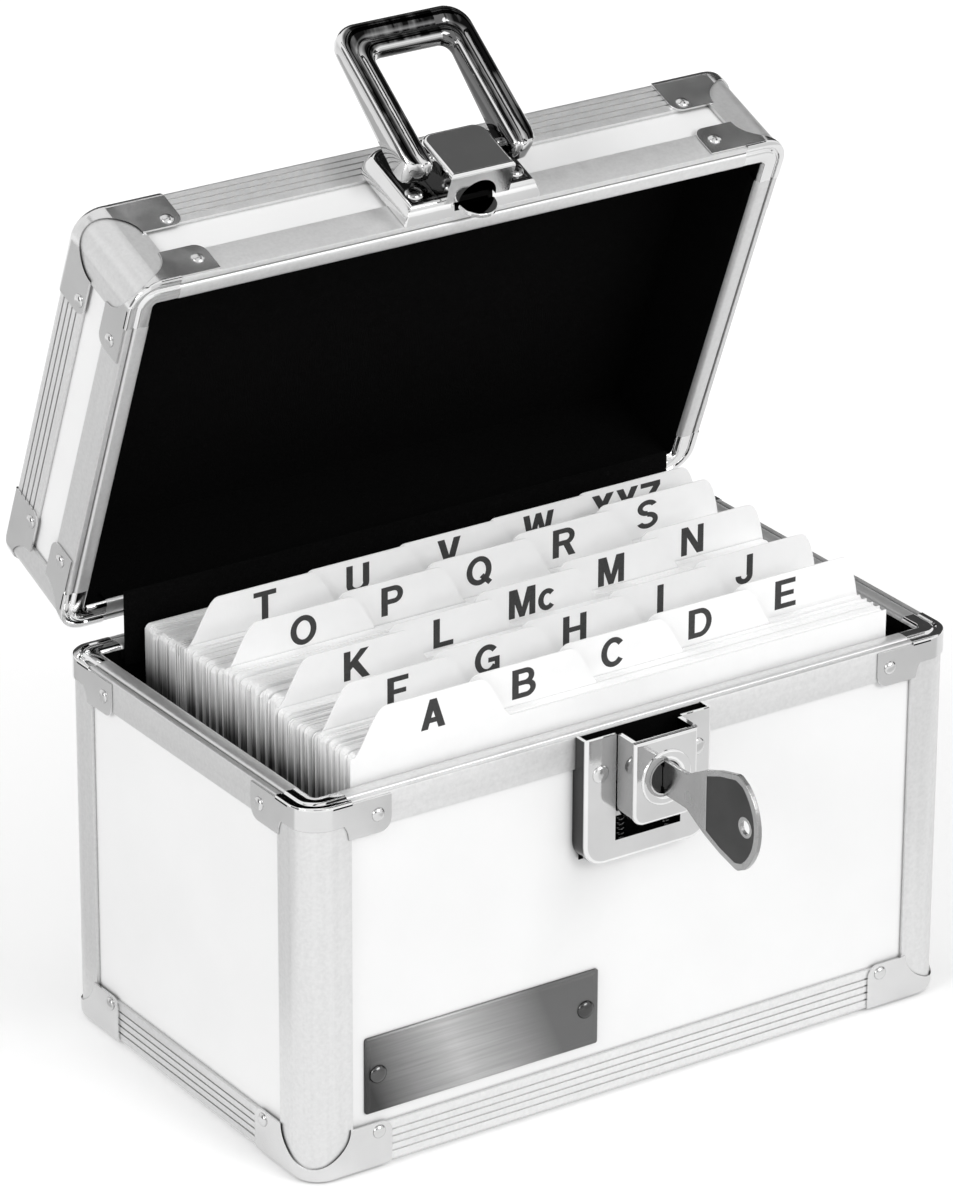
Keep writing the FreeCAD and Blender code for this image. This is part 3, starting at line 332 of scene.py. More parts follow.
class Finish:
    """A material with its shader, and short ways to feed it."""

    def __init__(self, name, **settings):
        self.material = bpy.data.materials.new(name)
        self.material.use_nodes = True
        self.tree = self.material.node_tree
        self.shader = self.tree.nodes["Principled BSDF"]
        for label, value in settings.items():
            self.shader.inputs[label.replace("_", " ")].default_value = value

    def coordinates(self, stretch=(1, 1, 1), tilt=0.0):
        """Place on the object, turned back about the hinge pins by a tilt, then scaled along each axis."""
        place = self.tree.nodes.new("ShaderNodeTexCoord")
        mapping = self.tree.nodes.new("ShaderNodeMapping")
        mapping.vector_type = "POINT"
        mapping.inputs["Rotation"].default_value = (tilt, 0, 0)
        mapping.inputs["Location"].default_value = HINGE - Matrix.Rotation(tilt, 3, "X") @ HINGE
        self.tree.links.new(place.outputs["Object"], mapping.inputs["Vector"])
        return combined(self.tree, VECTORS, "MULTIPLY", mapping.outputs["Vector"], stretch)

    def group(self, tree, **inputs):
        """Result of a shared effect, each input a plain value or another node's output."""
        node = self.tree.nodes.new("ShaderNodeGroup")
        node.node_tree = tree
        for label, given in inputs.items():
            feed(self.tree, node.inputs[label], given)
        return node.outputs[0]

    def grain(self, scale, low=0.0, high=1.0, stretch=(1, 1, 1), tilt=0.0):
        """Fine noise between two values, drawn out along the axes whose stretch is small."""
        where = self.coordinates(stretch, tilt)
        return self.group(GRAIN, Vector=where, Scale=scale, Low=low, High=high)

    def slope(self, axis, start, end):
        """0 to 1 between two places along an axis, in metres."""
        return self.group(SLOPE, Vector=self.coordinates(), Axis=axis, Start=start, End=end)

    def inside(self, low, high, tilt=0.0):
        """1 between two corners in mm, 0 outside."""
        low, high = ([edge * MM for edge in corner] for corner in (low, high))
        return self.group(INSIDE, Vector=self.coordinates(tilt=tilt), Low=low, High=high)

    def facing(self, direction, start, end):
        """0 to 1 as the surface turns to face a direction."""
        place = self.tree.nodes.new("ShaderNodeTexCoord")
        return self.group(SLOPE, Vector=place.outputs["Normal"], Axis=direction, Start=start, End=end)

    def shades(self, value, dark, light):
        """Base colour between two shades, each a grey or another node's colour."""
        dark, light = (shade if isinstance(shade, bpy.types.NodeSocket) else (shade, shade, shade, 1)
                       for shade in (dark, light))
        self.colour = self.group(TWO_SHADES, Value=value, Dark=dark, Light=light)
        feed(self.tree, self.shader.inputs["Base Color"], self.colour)

    def paint_crease_shade(self, reach, dark):
        """Painted shade: darkens the base colour in creases, grooves and corners."""
        self.shades(self.group(PAINTED_CREASE_SHADE, Reach=reach * MM), dark, self.colour)

    def rough(self, value):
        """Roughness that changes over the surface."""
        feed(self.tree, self.shader.inputs["Roughness"], value)

    def bump(self, value, height):
        """Fine relief, with its height in metres where the value is 1."""
        node = self.tree.nodes.new("ShaderNodeBump")
        node.inputs["Strength"].default_value = 1.0
        node.inputs["Distance"].default_value = height
        feed(self.tree, node.inputs["Height"], value)
        feed(self.tree, self.shader.inputs["Normal"], node.outputs["Normal"])


def drawn_aluminium(name, stretch, tilt=0.0, crease_shade_grey=0.14, painted_light=1.0):
    """Satin anodised extrusion, finely mottled, with faint lines along its length."""
    metal = Finish(name, Metallic=0.7)
    lines = metal.grain(700, stretch=stretch, tilt=tilt)
    # Painted light: the last factor lightens the copies on the better lit sides.
    metal.shades(lines, 0.64 * painted_light, 0.68 * painted_light)
    metal.shades(metal.grain(1100, 0.0, 0.5), metal.colour, 0.77 * painted_light)
    # Painted shade in creases, grooves and corners, down to a given grey.
    metal.paint_crease_shade(0.8, crease_shade_grey)
    metal.rough(metal.grain(350, 0.33, 0.43))
    metal.bump(lines, 0.000003)
    return metal.material


def plated(name, dark, light, roughest, smoothest=0.03, scratch=0.000002, painted_shade_hollow=None, tilt=0.0,
           reach=0.6, painted_dark_reflection=None):
    """Bright plated metal with a little wiping haze, painted black as shade inside a box between two corners.

    What faces a direction may get a painted dark reflection, a darker shade: (direction, start, end, shade).
    """
    metal = Finish(name, Metallic=1.0)
    metal.shades(metal.grain(60), dark, light)
    # Painted shade in creases, grooves and corners, reaching a distance in mm; none where it is 0.
    if reach:
        metal.paint_crease_shade(reach, 0.06)
    # Painted dark reflection on what faces a given direction.
    if painted_dark_reflection:
        direction, start, end, shade = painted_dark_reflection
        metal.shades(metal.facing(direction, start, end), metal.colour, shade)
    # Painted shade: black inside a box between two corners.
    if painted_shade_hollow:
        metal.shades(metal.inside(*painted_shade_hollow, tilt), metal.colour, 0.004)
    metal.rough(metal.grain(140, smoothest, roughest))
    metal.bump(metal.grain(1200, stretch=(1, 1, 6)), scratch)
    return metal.material


PAINTED_SHADE_BESIDE_WINDOW = ((8.8, 0, 205), (11.7, 80, 260))


def bail_chrome(name):
    """Plated bail: painted dark reflections on its face, painted shade round its window, bright outer sides.
    """
    metal = Finish(name, Metallic=1.0)
    metal.shades(metal.grain(60), 0.74, 0.82)
    # Painted shade in creases, grooves and corners.
    metal.paint_crease_shade(0.6, 0.06)
    bright = metal.colour
    # Painted reflection: dark streaks on the face turned out, for a dark room mirrored there.
    metal.shades(metal.grain(260, -1.3, 1.5, (1, 0.25, 0.25)), 0.006, 0.16)
    metal.shades(metal.facing(BAIL_OUT, 0.80, 0.93), bright, metal.colour)
    # Painted shade on the wall above the window.
    metal.shades(metal.facing(-BAIL_UP, 0.60, 0.90), metal.colour, 0.16)
    # Painted shade: the side turned left a little greyer.
    metal.shades(metal.facing(LEFT, 0.85, 0.97), metal.colour, 0.58)
    # Painted shade on the window's inner wall at its right.
    metal.shades(metal.inside(*PAINTED_SHADE_BESIDE_WINDOW), metal.colour, 0.14)
    metal.rough(metal.grain(140, 0.03, 0.08))
    metal.bump(metal.grain(500, stretch=(1, 0.3, 0.3)), 0.00001)
    return metal.material


def pewter(name):
    """Dark brushed plate with painted reflection, lightest in its middle and darker towards both ends."""
    metal = Finish(name, Metallic=1.0)
    lines = metal.grain(1600, stretch=(0.03, 1, 1))
    slanting = (1, 0, 0.4)
    metal.shades(lines, 0.46, 0.58)
    # Painted reflection: darker towards both ends.
    metal.shades(metal.slope(slanting, -0.066, -0.040), 0.06, metal.colour)
    metal.shades(metal.slope(slanting, -0.042, -0.014), metal.colour, 0.15)
    # Painted shade in creases, grooves and corners.
    metal.paint_crease_shade(0.8, 0.02)
    metal.rough(metal.grain(60, 0.30, 0.40))
    metal.bump(lines, 0.00001)
    return metal.material


def laminate(name):
    """White sheet bonded to the boards, with a fine pebbled surface."""
    sheet = Finish(name, Specular_IOR_Level=0.45)
    sheet.shades(sheet.grain(40), 0.86, 0.885)
    # Painted shade in creases, grooves and corners.
    sheet.paint_crease_shade(1.2, 0.16)
    sheet.rough(sheet.grain(300, 0.38, 0.5))
    sheet.bump(sheet.grain(1500), 0.00001)
    return sheet.material


def felt(name):
    """Flocked black cloth."""
    cloth = Finish(name, Specular_IOR_Level=0.05)
    pile = cloth.grain(2600)
    cloth.shades(pile, 0.0010, 0.0035)
    cloth.rough(cloth.grain(500, 0.92, 1.0))
    cloth.bump(pile, 0.00008)
    return cloth.material


GUIDE_PAINTED_SHADE_HEIGHTS = (0.080, 0.0985)
CARD_PAINTED_SHADE_HEIGHTS = (0.0885, 0.1018)


def guide_board(name):
    """White pressboard of the tabbed guides, a trace of fibre, with painted shade towards the foot."""
    board = Finish(name, Specular_IOR_Level=0.3)
    board.shades(board.grain(220), 0.94, 0.96)
    # Painted shade: greyer towards the foot, between two heights in metres.
    board.shades(board.slope(UP, *GUIDE_PAINTED_SHADE_HEIGHTS), 0.74, board.colour)
    # Painted shade in creases, grooves and corners.
    board.paint_crease_shade(0.8, 0.62)
    board.rough(board.grain(700, 0.5, 0.65))
    board.bump(board.grain(1800, stretch=(1, 1, 0.4)), 0.000008)
    return board.material


def card_stock(name):
    """White cards with painted shade: greyer further down the pack, each one there lighter or darker than the
    next.
    """
    card = Finish(name, Specular_IOR_Level=0.3)
    # Painted shade: dark and striped card by card low in the pack, for shadow between cards, white above.
    card.shades(card.grain(1300, stretch=(0, 1, 0)), 0.015, 0.30)
    card.shades(card.slope(UP, *CARD_PAINTED_SHADE_HEIGHTS), card.colour, 0.96)
    card.rough(card.grain(700, 0.55, 0.7))
    card.bump(card.grain(1800, stretch=(0.2, 1, 1)), 0.000008)
    return card.material


def printing_ink(name):
    """Flat black ink of the letters."""
    film = Finish(name, Specular_IOR_Level=0.3)
    film.shades(film.grain(1500), 0.035, 0.050)
    film.rough(film.grain(900, 0.5, 0.65))
    return film.material


ALONG_X, ALONG_Y, ALONG_Z = (0.02, 1, 1), (1, 0.02, 1), (1, 1, 0.02)
CHROME = {"dark": 0.78, "light": 0.86, "roughest": 0.07}
LATCH_CHROME = {"dark": 0.74, "light": 0.82, "roughest": 0.08}

# Hollows of the lock and the latch between two corners in mm, those on the lid as it stands closed
# Painted shade: the insides of these hollows are painted black.
IN_LOCK_PLATE = ((-17.2, -57.1, 60), (17.2, -50, 98))
IN_LOCK_SLIDE = ((-7.9, -63.8, 76.8), (7.9, -50, 98))
IN_LATCH_BLOCK = ((-7.9, -65.9, 98.95), (7.9, -50, 112.6))
IN_LATCH_PLATE = ((-5.4, -58.7, 98.0), (5.4, -53.9, 101.8))

FINISHES = {
    # Painted light: lengthways aluminium, the base's posts and the lid's ribbed sides are painted lighter.
    "aluminium_x": drawn_aluminium("satin_aluminium_lengthways", ALONG_X, painted_light=1.10),
    "aluminium_y": drawn_aluminium("satin_aluminium_sideways", ALONG_Y),
    "aluminium_z": drawn_aluminium("satin_aluminium_upright", ALONG_Z, painted_light=1.05),
    # The ribbed copies get a lighter painted shade in their creases.
    "ribbed_x": drawn_aluminium("ribbed_aluminium_lengthways", ALONG_X, crease_shade_grey=0.42, painted_light=1.14),
    "ribbed_y": drawn_aluminium("ribbed_aluminium_sideways", ALONG_Y, crease_shade_grey=0.42),
    "ribbed_lid_y": drawn_aluminium("ribbed_aluminium_lid_sideways", ALONG_Y, LID_TILT, 0.42, 1.14),
    "aluminium_lid_y": drawn_aluminium("satin_aluminium_lid_sideways", ALONG_Y, LID_TILT),
    "aluminium_lid_z": drawn_aluminium("satin_aluminium_lid_upright", ALONG_Z, LID_TILT),
    "cap": plated("plated_caps", 0.66, 0.74, 0.24, 0.14),
    "rivet": plated("plated_rivets", 0.62, 0.72, 0.22, 0.12, reach=1.2),
    "bright_cap": plated("bright_caps", 0.76, 0.84, 0.10, 0.05),
    "chrome": plated("polished_chrome", **CHROME),
    # Lock and latch: painted shade in their hollows, painted dark reflections where they face left or out.
    "lock_plate": plated("chrome_lock_plate", **CHROME, painted_shade_hollow=IN_LOCK_PLATE, reach=5,
                         painted_dark_reflection=(LEFT, 0.80, 0.95, 0.06)),
    "lock_slide": plated("chrome_lock_slide", **CHROME, painted_shade_hollow=IN_LOCK_SLIDE, reach=4,
                         painted_dark_reflection=(LEFT, 0.80, 0.95, 0.34)),
    "latch_block": plated("chrome_latch_block", **CHROME, painted_shade_hollow=IN_LATCH_BLOCK, tilt=LID_TILT),
    "latch_dish": plated("chrome_latch_plate", **LATCH_CHROME, painted_shade_hollow=IN_LATCH_PLATE, tilt=LID_TILT,
                         painted_dark_reflection=(LID_OUT, 0.955, 0.99, 0.05)),
    "latch_rivet": plated("chrome_latch_rivet", **LATCH_CHROME, painted_dark_reflection=(LID_OUT, 0.45, 0.95, 0.07)),
    "bail": bail_chrome("chrome_bail"),
    "steel": plated("plated_steel", 0.56, 0.66, 0.32, 0.22, 0.000005),
    "key_steel": plated("nickel_key", 0.34, 0.42, 0.30, 0.18, 0.000005),
    "key_field": plated("key_field", 0.045, 0.075, 0.40, 0.28, 0.00001),
    "dark_steel": plated("dark_steel", 0.07, 0.12, 0.22, 0.12),
    "pewter": pewter("pewter_plate"),
    "laminate": laminate("white_laminate"),
    "felt": felt("black_felt"),
    "guide": guide_board("guide_board"),
    "card": card_stock("card_stock"),
    "ink": printing_ink("printing_ink"),
}


def finish_for(label):
    """Key of the finish that a node of the case takes."""
    if "panel" in label:
        return "laminate"
    if label.endswith("_lining"):
        return "felt"
    if label.endswith("_rivets"):
        return "rivet"
    if label.endswith(("foot_corners", "top_corners")):
        return "cap"
    if label.endswith(("_rim", "_edge")):
        sort = "aluminium" if label.endswith("_rim") else "ribbed"
        if "front" in label or "back" in label:
            return sort + "_x"
        return sort + ("_lid_y" if label.startswith("lid") else "_y")
    if label.endswith("_posts"):
        return "aluminium_lid_z" if label.startswith("lid") else "aluminium_z"
    if label.startswith("hinge") or label == "lock_cam":
        return "steel"
    if label == "key_cylinder":
        return "dark_steel"
    if label in ("lock_plate", "lock_slide", "latch_block"):
        return label
    return "chrome"


for label, node in nodes.items():
    node.data.materials.clear()
    node.data.materials.append(FINISHES[finish_for(label)])


# Mesh builders

SHARP_ANGLE = math.radians(38)
LEAST_CORNER = 0.05


def corners_of(label):
    """Low and high corner of a node, in metres."""
    return [Vector(corner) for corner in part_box(label)]


def piece_from(name, finish, body, verts, faces, smooth=False):
    """Closed mesh piece with a finish, riding on a body of the frame unless the body is None."""
    mesh = bpy.data.meshes.new(name)
    mesh.from_pydata([tuple(v) for v in verts], [], faces)
    shell = bmesh.new()
    shell.from_mesh(mesh)
    bmesh.ops.recalc_face_normals(shell, faces=shell.faces)
    shell.to_mesh(mesh)
    shell.free()
    if smooth:
        mesh.shade_smooth()
        mesh.set_sharp_from_angle(angle=SHARP_ANGLE)
    mesh.materials.append(FINISHES[finish])
    piece = link_piece(name, mesh)
    if body:
        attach(piece, body)
    return piece


def arc(x, y, radius, start, end, steps=12):
    """Points along an arc about a middle, between two angles in degrees."""
    angles = [math.radians(start + (end - start) * step / steps) for step in range(steps + 1)]
    return [(x + radius * math.cos(angle), y + radius * math.sin(angle)) for angle in angles]


def rounded_rectangle(width, height, corners, steps=8):
    """Points round a rectangle about the origin, its corner radii from the lower right one on."""
    points = []
    for (x, y, start), corner in zip(((1, -1, -90), (1, 1, 0), (-1, 1, 90), (-1, -1, 180)), corners):
        middle = (x * (width / 2 - corner), y * (height / 2 - corner))
        points += arc(*middle, corner, start, start + 90, steps)
    return points


def rings_to_faces(count, rings, looped=False):
    """Quads between rings of points; the ends are closed by one face each, or joined when looped."""
    last = (rings - 1) * count
    faces = [] if looped else [tuple(reversed(range(count))), tuple(range(last, last + count))]
    for ring in range(rings if looped else rings - 1):
        near, far = ring * count, (ring + 1) % rings * count
        for index in range(count):
            following = (index + 1) % count
            faces.append((near + index, near + following, far + following, far + index))
    return faces


def numbered_from(first, faces):
    """The same faces for points that are numbered from a first one on."""
    return [tuple(first + index for index in face) for face in faces]


def shells_piece(name, finish, body, shells):
    """Piece of several closed shells, each a list of rings with as many points in every ring."""
    verts, faces = [], []
    for rings in shells:
        faces += numbered_from(len(verts), rings_to_faces(len(rings[0]), len(rings)))
        verts += [point for ring in rings for point in ring]
    return piece_from(name, finish, body, verts, faces, smooth=True)


def bar(left, foot, right, top):
    """Upright rectangle's corners, from the lower left one on."""
    return [(left, foot), (right, foot), (right, top), (left, top)]


def block_piece(name, finish, body, low, high):
    """Plain block between two corners in mm."""
    ends = [[Vector((x, y, z)) * MM for y, z in bar(low[1], low[2], high[1], high[2])]
            for x in (low[0], high[0])]
    return shells_piece(name, finish, body, [ends])


def sheet_piece(name, finish, body, outlines, thickness, edge, frame_of):
    """Flat sheet with softened edges, the first outline cut out by the others, all in mm."""
    curve = bpy.data.curves.new(name, "CURVE")
    curve.dimensions, curve.fill_mode = "2D", "BOTH"
    curve.extrude = (thickness / 2 - edge) * MM
    curve.bevel_depth, curve.offset = edge * MM, -edge * MM
    for outline in outlines:
        spline = curve.splines.new("POLY")
        spline.points.add(len(outline) - 1)
        spline.use_cyclic_u = True
        for point, (x, y) in zip(spline.points, outline):
            point.co = (x * MM, y * MM, 0, 1)
    pattern = link_piece(name + "_pattern", curve)
    graph = bpy.context.evaluated_depsgraph_get()
    mesh = bpy.data.meshes.new_from_object(pattern.evaluated_get(graph))
    bpy.data.objects.remove(pattern)
    shell = bmesh.new()
    shell.from_mesh(mesh)
    bmesh.ops.remove_doubles(shell, verts=shell.verts, dist=1e-7)
    verts = [frame_of @ vertex.co for vertex in shell.verts]
    faces = [tuple(vertex.index for vertex in face.verts) for face in shell.faces]
    shell.free()
    bpy.data.meshes.remove(mesh)
    return piece_from(name, finish, body, verts, faces)


def pressed_plate(name, finish, body, width, height, corners, levels, frame_of):
    """Plate with a stepped rim: each level is (inset, rise) in mm from its outline and its back."""
    rings = []
    for inset, rise in levels:
        outline = rounded_rectangle(width - 2 * inset, height - 2 * inset,
                                    [max(corner - inset, LEAST_CORNER) for corner in corners])
        rings.append([frame_of @ Vector((x * MM, y * MM, rise * MM)) for x, y in outline])
    return shells_piece(name, finish, body, [rings])


def turned_piece(name, finish, body, profile, frame_of, looped=False, steps=48):
    """Piece turned about its own axis from (radius, rise) points in mm."""
    verts = []
    for radius, rise in profile:
        for step in range(steps):
            angle = math.tau * step / steps
            point = Vector((radius * math.cos(angle), radius * math.sin(angle), rise)) * MM
            verts.append(frame_of @ point)
    faces = rings_to_faces(steps, len(profile), looped)
    return piece_from(name, finish, body, verts, faces, smooth=True)


def facing_front(x, y, z):
    """Frame at a point in mm whose Z points out of the front of the box."""
    turn = Matrix(((1, 0, 0), (0, 0, -1), (0, 1, 0))).to_4x4()
    return Matrix.Translation(Vector((x, y, z)) * MM) @ turn


# Guides and cards

SAME_DEPTH, TAB_EDGE = 0.02, 0.5 * MM


def sheet_faces(label):
    """Front faces of a node's sheets, from front to back, in metres, with their tabs' middles and tops."""
    node = nodes[label]
    corners = [node.matrix_world @ vertex.co for vertex in node.data.vertices]
    depths = sorted({round(corner.y / MM, 2) for corner in corners})
    sheets = []
    for front in depths[0::2]:
        face = [corner for corner in corners if abs(corner.y / MM - front) < SAME_DEPTH]
        top = max(corner.z for corner in face)
        tab = [corner.x for corner in face if corner.z > top - TAB_EDGE]
        sheets.append((front * MM, (min(tab) + max(tab)) / 2, top))
    return sheets


GUIDE, SLACK = 0.3 * MM, 0.05 * MM
TAB_HALF, TAB_RISE, SLOPE_WIDTH, LAST_SLOPE = 21.5 * MM, 11.2 * MM, 8.8 * MM, 6.0 * MM
SLOPE_STEPS, SLOPE_EASE, LAST_EASE = 16, 0.82, 3.4


def guide_outline(low, high, middle, top, last):
    """Outline of a guide, as (x, z) in metres, with S-shaped slopes from its tab to its body.

    The last tab of a row falls steeply at its outer end.
    """
    shoulder = top - TAB_RISE
    points = [(low.x, low.z), (high.x, low.z), (high.x, shoulder)]
    for side, steep in ((1, last), (-1, False)):
        slope = []
        for step in range(SLOPE_STEPS + 1):
            part = step / SLOPE_STEPS
            eased = part ** SLOPE_EASE
            rise = 1 - (1 - part) ** LAST_EASE if steep else eased ** 2 * (3 - 2 * eased)
            reach = TAB_HALF - (LAST_SLOPE if steep else SLOPE_WIDTH) * part
            slope.append((middle + side * reach, shoulder + TAB_RISE * rise))
        points += slope if side > 0 else reversed(slope)
    return points + [(low.x, shoulder)]


def tabbed_guides(letters, sheets):
    """One row of guides with softly curved tabs, from their front faces, middles and tops."""
    label = "guides_" + letters
    low, high = corners_of(label)
    shells = []
    for front, middle, top in sheets:
        outline = guide_outline(low, high, middle, top, front == sheets[-1][0])
        shells.append([[Vector((x, y, z)) for x, z in outline] for y in (front, front + GUIDE)])
    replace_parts(shells_piece("tabbed_" + label, "guide", "cards_" + letters, shells), label)


CARD, CARD_GAP, BUNCH_GAP, CARD_CORNER = 0.40 * MM, 0.015 * MM, 0.06 * MM, 1.2 * MM
BUNCH, BUNCH_DROP, BUNCH_SHIFT, STRAY = (2, 7), (0.1, 1.3), 1.1, 0.25
FIRST_SEED = 40


def card_outline(left, right, foot, top):
    """Outline of a card, as (x, z) in metres, with rounded upper corners."""
    corner, bend = CARD_CORNER, 0.35 * CARD_CORNER
    return [(left, foot), (right, foot), (right, top - corner), (right - bend, top - bend),
            (right - corner, top), (left + corner, top), (left + bend, top - bend), (left, top - corner)]


def single_cards(row, label, body, gaps):
    """Row of single cards that fills the gaps between the guides.

    The cards stand in bunches that are lowered and shifted a little, and each card strays a little more,
    by sizes in mm.
    """
    low, high = corners_of(label)
    chance = random.Random(FIRST_SEED + row)
    verts, faces = [], []
    for start, end in gaps:
        count = max(2, round((end - start) / CARD))
        pitch = (end - start) / count
        bunch = 0
        for index in range(count):
            if bunch == 0:
                bunch = chance.randint(*BUNCH)
                lowered, shifted = chance.uniform(*BUNCH_DROP), chance.uniform(0.0, BUNCH_SHIFT)
                near = start + index * pitch + BUNCH_GAP
            bunch -= 1
            far = start + (index + 1) * pitch - CARD_GAP
            left = low.x + (shifted + chance.uniform(0.0, STRAY)) * MM
            right = high.x - (BUNCH_SHIFT - shifted + chance.uniform(0.0, STRAY)) * MM
            top = high.z - (lowered + chance.uniform(0.0, STRAY)) * MM
            outline = card_outline(left, right, low.z, top)
            faces += numbered_from(len(verts), rings_to_faces(len(outline), 2))
            verts += [Vector((x, y, z)) for y in (near, far) for x, z in outline]
            near = far + CARD_GAP
    piece = piece_from(label + "_singly", "card", body, verts, faces)
    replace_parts(piece, label)


# Letters

STEM_WEIGHT, BAR_WEIGHT = 0.2, 0.17


def head_bar(reach):
    """Bar from a letter's stem at its head."""
    return bar(STEM_WEIGHT, 1 - BAR_WEIGHT, reach, 1)


def foot_bar(reach):
    """Bar from a letter's stem at its foot."""
    return bar(STEM_WEIGHT, 0, reach, BAR_WEIGHT)


def slant(left, right, far_left, far_right, start=0, end=1):
    """Slanting stroke between two heights, from its left and right at the start to those at the end."""
    return [(left, start), (right, start), (far_right, end), (far_left, end)]


def bow(x, y, wide, high, start, end, weight=0.18, steps=14):
    """Curved stroke of a letter about a middle, cut into short flat pieces."""
    pieces = []
    for step in range(steps):
        a, b = (math.radians(start + (end - start) * (step + k) / steps) for k in (0, 1))
        pieces.append([(x + (wide - inset) * math.cos(turn), y + (high - inset) * math.sin(turn))
                       for turn, inset in ((a, 0), (b, 0), (b, weight), (a, weight))])
    return pieces


def bowl(x, y, wide, high, steps=14):
    """Right half of a bow."""
    return bow(x, y, wide, high, -90, 90, BAR_WEIGHT, steps)


# Width and strokes of each letter, for capitals one unit high
STEM = bar(0, 0, STEM_WEIGHT, 1)
ROUND = bow(0.4, 0.5, 0.4, 0.51, 0, 360, steps=36)
LETTERS = {
    "A": (0.74, [slant(0, 0.21, 0.265, 0.475), slant(0.53, 0.74, 0.265, 0.475),
                 bar(0.16, 0.2, 0.58, 0.37)]),
    "B": (0.73, [STEM, head_bar(0.42), bar(0.2, 0.43, 0.44, 0.59), foot_bar(0.44)]
          + bowl(0.42, 0.715, 0.26, 0.285) + bowl(0.43, 0.295, 0.3, 0.295)),
    "C": (0.74, bow(0.38, 0.5, 0.38, 0.51, 38, 322, steps=30)),
    "D": (0.74, [STEM, head_bar(0.36), foot_bar(0.36)] + bowl(0.36, 0.5, 0.38, 0.5, 20)),
    "E": (0.68, [STEM, head_bar(0.66), bar(0.2, 0.42, 0.61, 0.58), foot_bar(0.68)]),
    "F": (0.64, [STEM, head_bar(0.64), bar(0.2, 0.41, 0.57, 0.57)]),
    "G": (0.77, bow(0.39, 0.5, 0.39, 0.51, 42, 325, steps=30)
          + [bar(0.42, 0.38, 0.77, 0.54), bar(0.62, 0, 0.77, 0.4)]),
    "H": (0.74, [STEM, bar(0.54, 0, 0.74, 1), bar(0.2, 0.42, 0.54, 0.59)]),
    "I": (0.2, [STEM]),
    "J": (0.56, [bar(0.36, 0.29, 0.56, 1)] + bow(0.28, 0.29, 0.28, 0.3, 175, 360)),
    "K": (0.78, [STEM, [(0.2, 0.34), (0.76, 1), (0.51, 1), (0.2, 0.62)],
                 [(0.27, 0.44), (0.43, 0.62), (0.8, 0), (0.56, 0)]]),
    "L": (0.62, [STEM, foot_bar(0.62)]),
    "M": (0.84, [bar(0, 0, 0.19, 1), bar(0.65, 0, 0.84, 1), slant(0.04, 0.26, 0.34, 0.5, 1, 0),
                 slant(0.58, 0.8, 0.34, 0.5, 1, 0)]),
    "N": (0.73, [bar(0, 0, 0.19, 1), bar(0.54, 0, 0.73, 1), slant(0, 0.21, 0.52, 0.73, 1, 0)]),
    "O": (0.8, ROUND),
    "P": (0.68, [STEM, head_bar(0.4), bar(0.2, 0.38, 0.4, 0.55)] + bowl(0.4, 0.69, 0.28, 0.31)),
    "Q": (0.8, ROUND + [[(0.42, 0.26), (0.54, 0.37), (0.82, 0.06), (0.7, -0.06)]]),
    "R": (0.74, [STEM, head_bar(0.42), bar(0.2, 0.4, 0.42, 0.57), slant(0.33, 0.54, 0.52, 0.74, 0.45, 0)]
          + bowl(0.42, 0.7, 0.29, 0.3)),
    "S": (0.69, bow(0.34, 0.73, 0.33, 0.28, 25, 270, 0.17, 20)
          + bow(0.34, 0.28, 0.35, 0.29, -160, 90, 0.17, 20)),
    "T": (0.7, [bar(0.25, 0, 0.45, 1), bar(0, 0.83, 0.7, 1)]),
    "U": (0.72, [bar(0, 0.34, 0.2, 1), bar(0.52, 0.34, 0.72, 1)]
          + bow(0.36, 0.34, 0.36, 0.35, 180, 360, 0.19, 20)),
    "V": (0.74, [slant(0, 0.22, 0.27, 0.48, 1, 0), slant(0.52, 0.74, 0.27, 0.48, 1, 0)]),
    "W": (1.0, [slant(0, 0.2, 0.17, 0.36, 1, 0), slant(0.17, 0.36, 0.41, 0.58),
                slant(0.41, 0.58, 0.63, 0.82, 1, 0), slant(0.63, 0.82, 0.8, 1.0)]),
    "X": (0.72, [slant(0, 0.24, 0.48, 0.72), slant(0.48, 0.72, 0, 0.24)]),
    "Y": (0.72, [bar(0.26, 0, 0.46, 0.45), slant(0, 0.23, 0.26, 0.46, 1, 0.4),
                 slant(0.49, 0.72, 0.26, 0.46, 1, 0.4)]),
    "Z": (0.67, [bar(0, 0.83, 0.65, 1), bar(0, 0, 0.67, 0.17), slant(0, 0.24, 0.42, 0.65, 0.17, 0.83)]),
    "c": (0.56, bow(0.29, 0.37, 0.29, 0.38, 42, 318, 0.17, 24)),
}
LETTER_SPACE, LETTER_STRETCH = 0.09, 1.22
LETTER_HEIGHT, LETTER_DROP = 7.4 * MM, 1.6 * MM
INK, INK_STEP, INK_LAYERS, INK_GAP = 0.04 * MM, 0.004 * MM, 7, 0.01 * MM


def printed_word(word, middle, top, front):
    """Thin blocks of ink for a word on a tab, facing the front of the box.

    Strokes that overlap differ a little in thickness, so that their faces never lie in one plane.
    """
    width = sum(LETTERS[letter][0] for letter in word) + LETTER_SPACE * (len(word) - 1)
    verts, faces, reach = [], [], -width / 2
    high = LETTER_HEIGHT
    wide, foot = LETTER_STRETCH * high, top - LETTER_DROP - high
    for letter in word:
        for layer, stroke in enumerate(LETTERS[letter][1]):
            faces += numbered_from(len(verts), rings_to_faces(len(stroke), 2))
            for y in (front - INK - layer % INK_LAYERS * INK_STEP, front - INK_GAP):
                verts += [Vector((middle + (reach + x) * wide, y, foot + z * high)) for x, z in stroke]
        reach += LETTERS[letter][0] + LETTER_SPACE
    return verts, faces


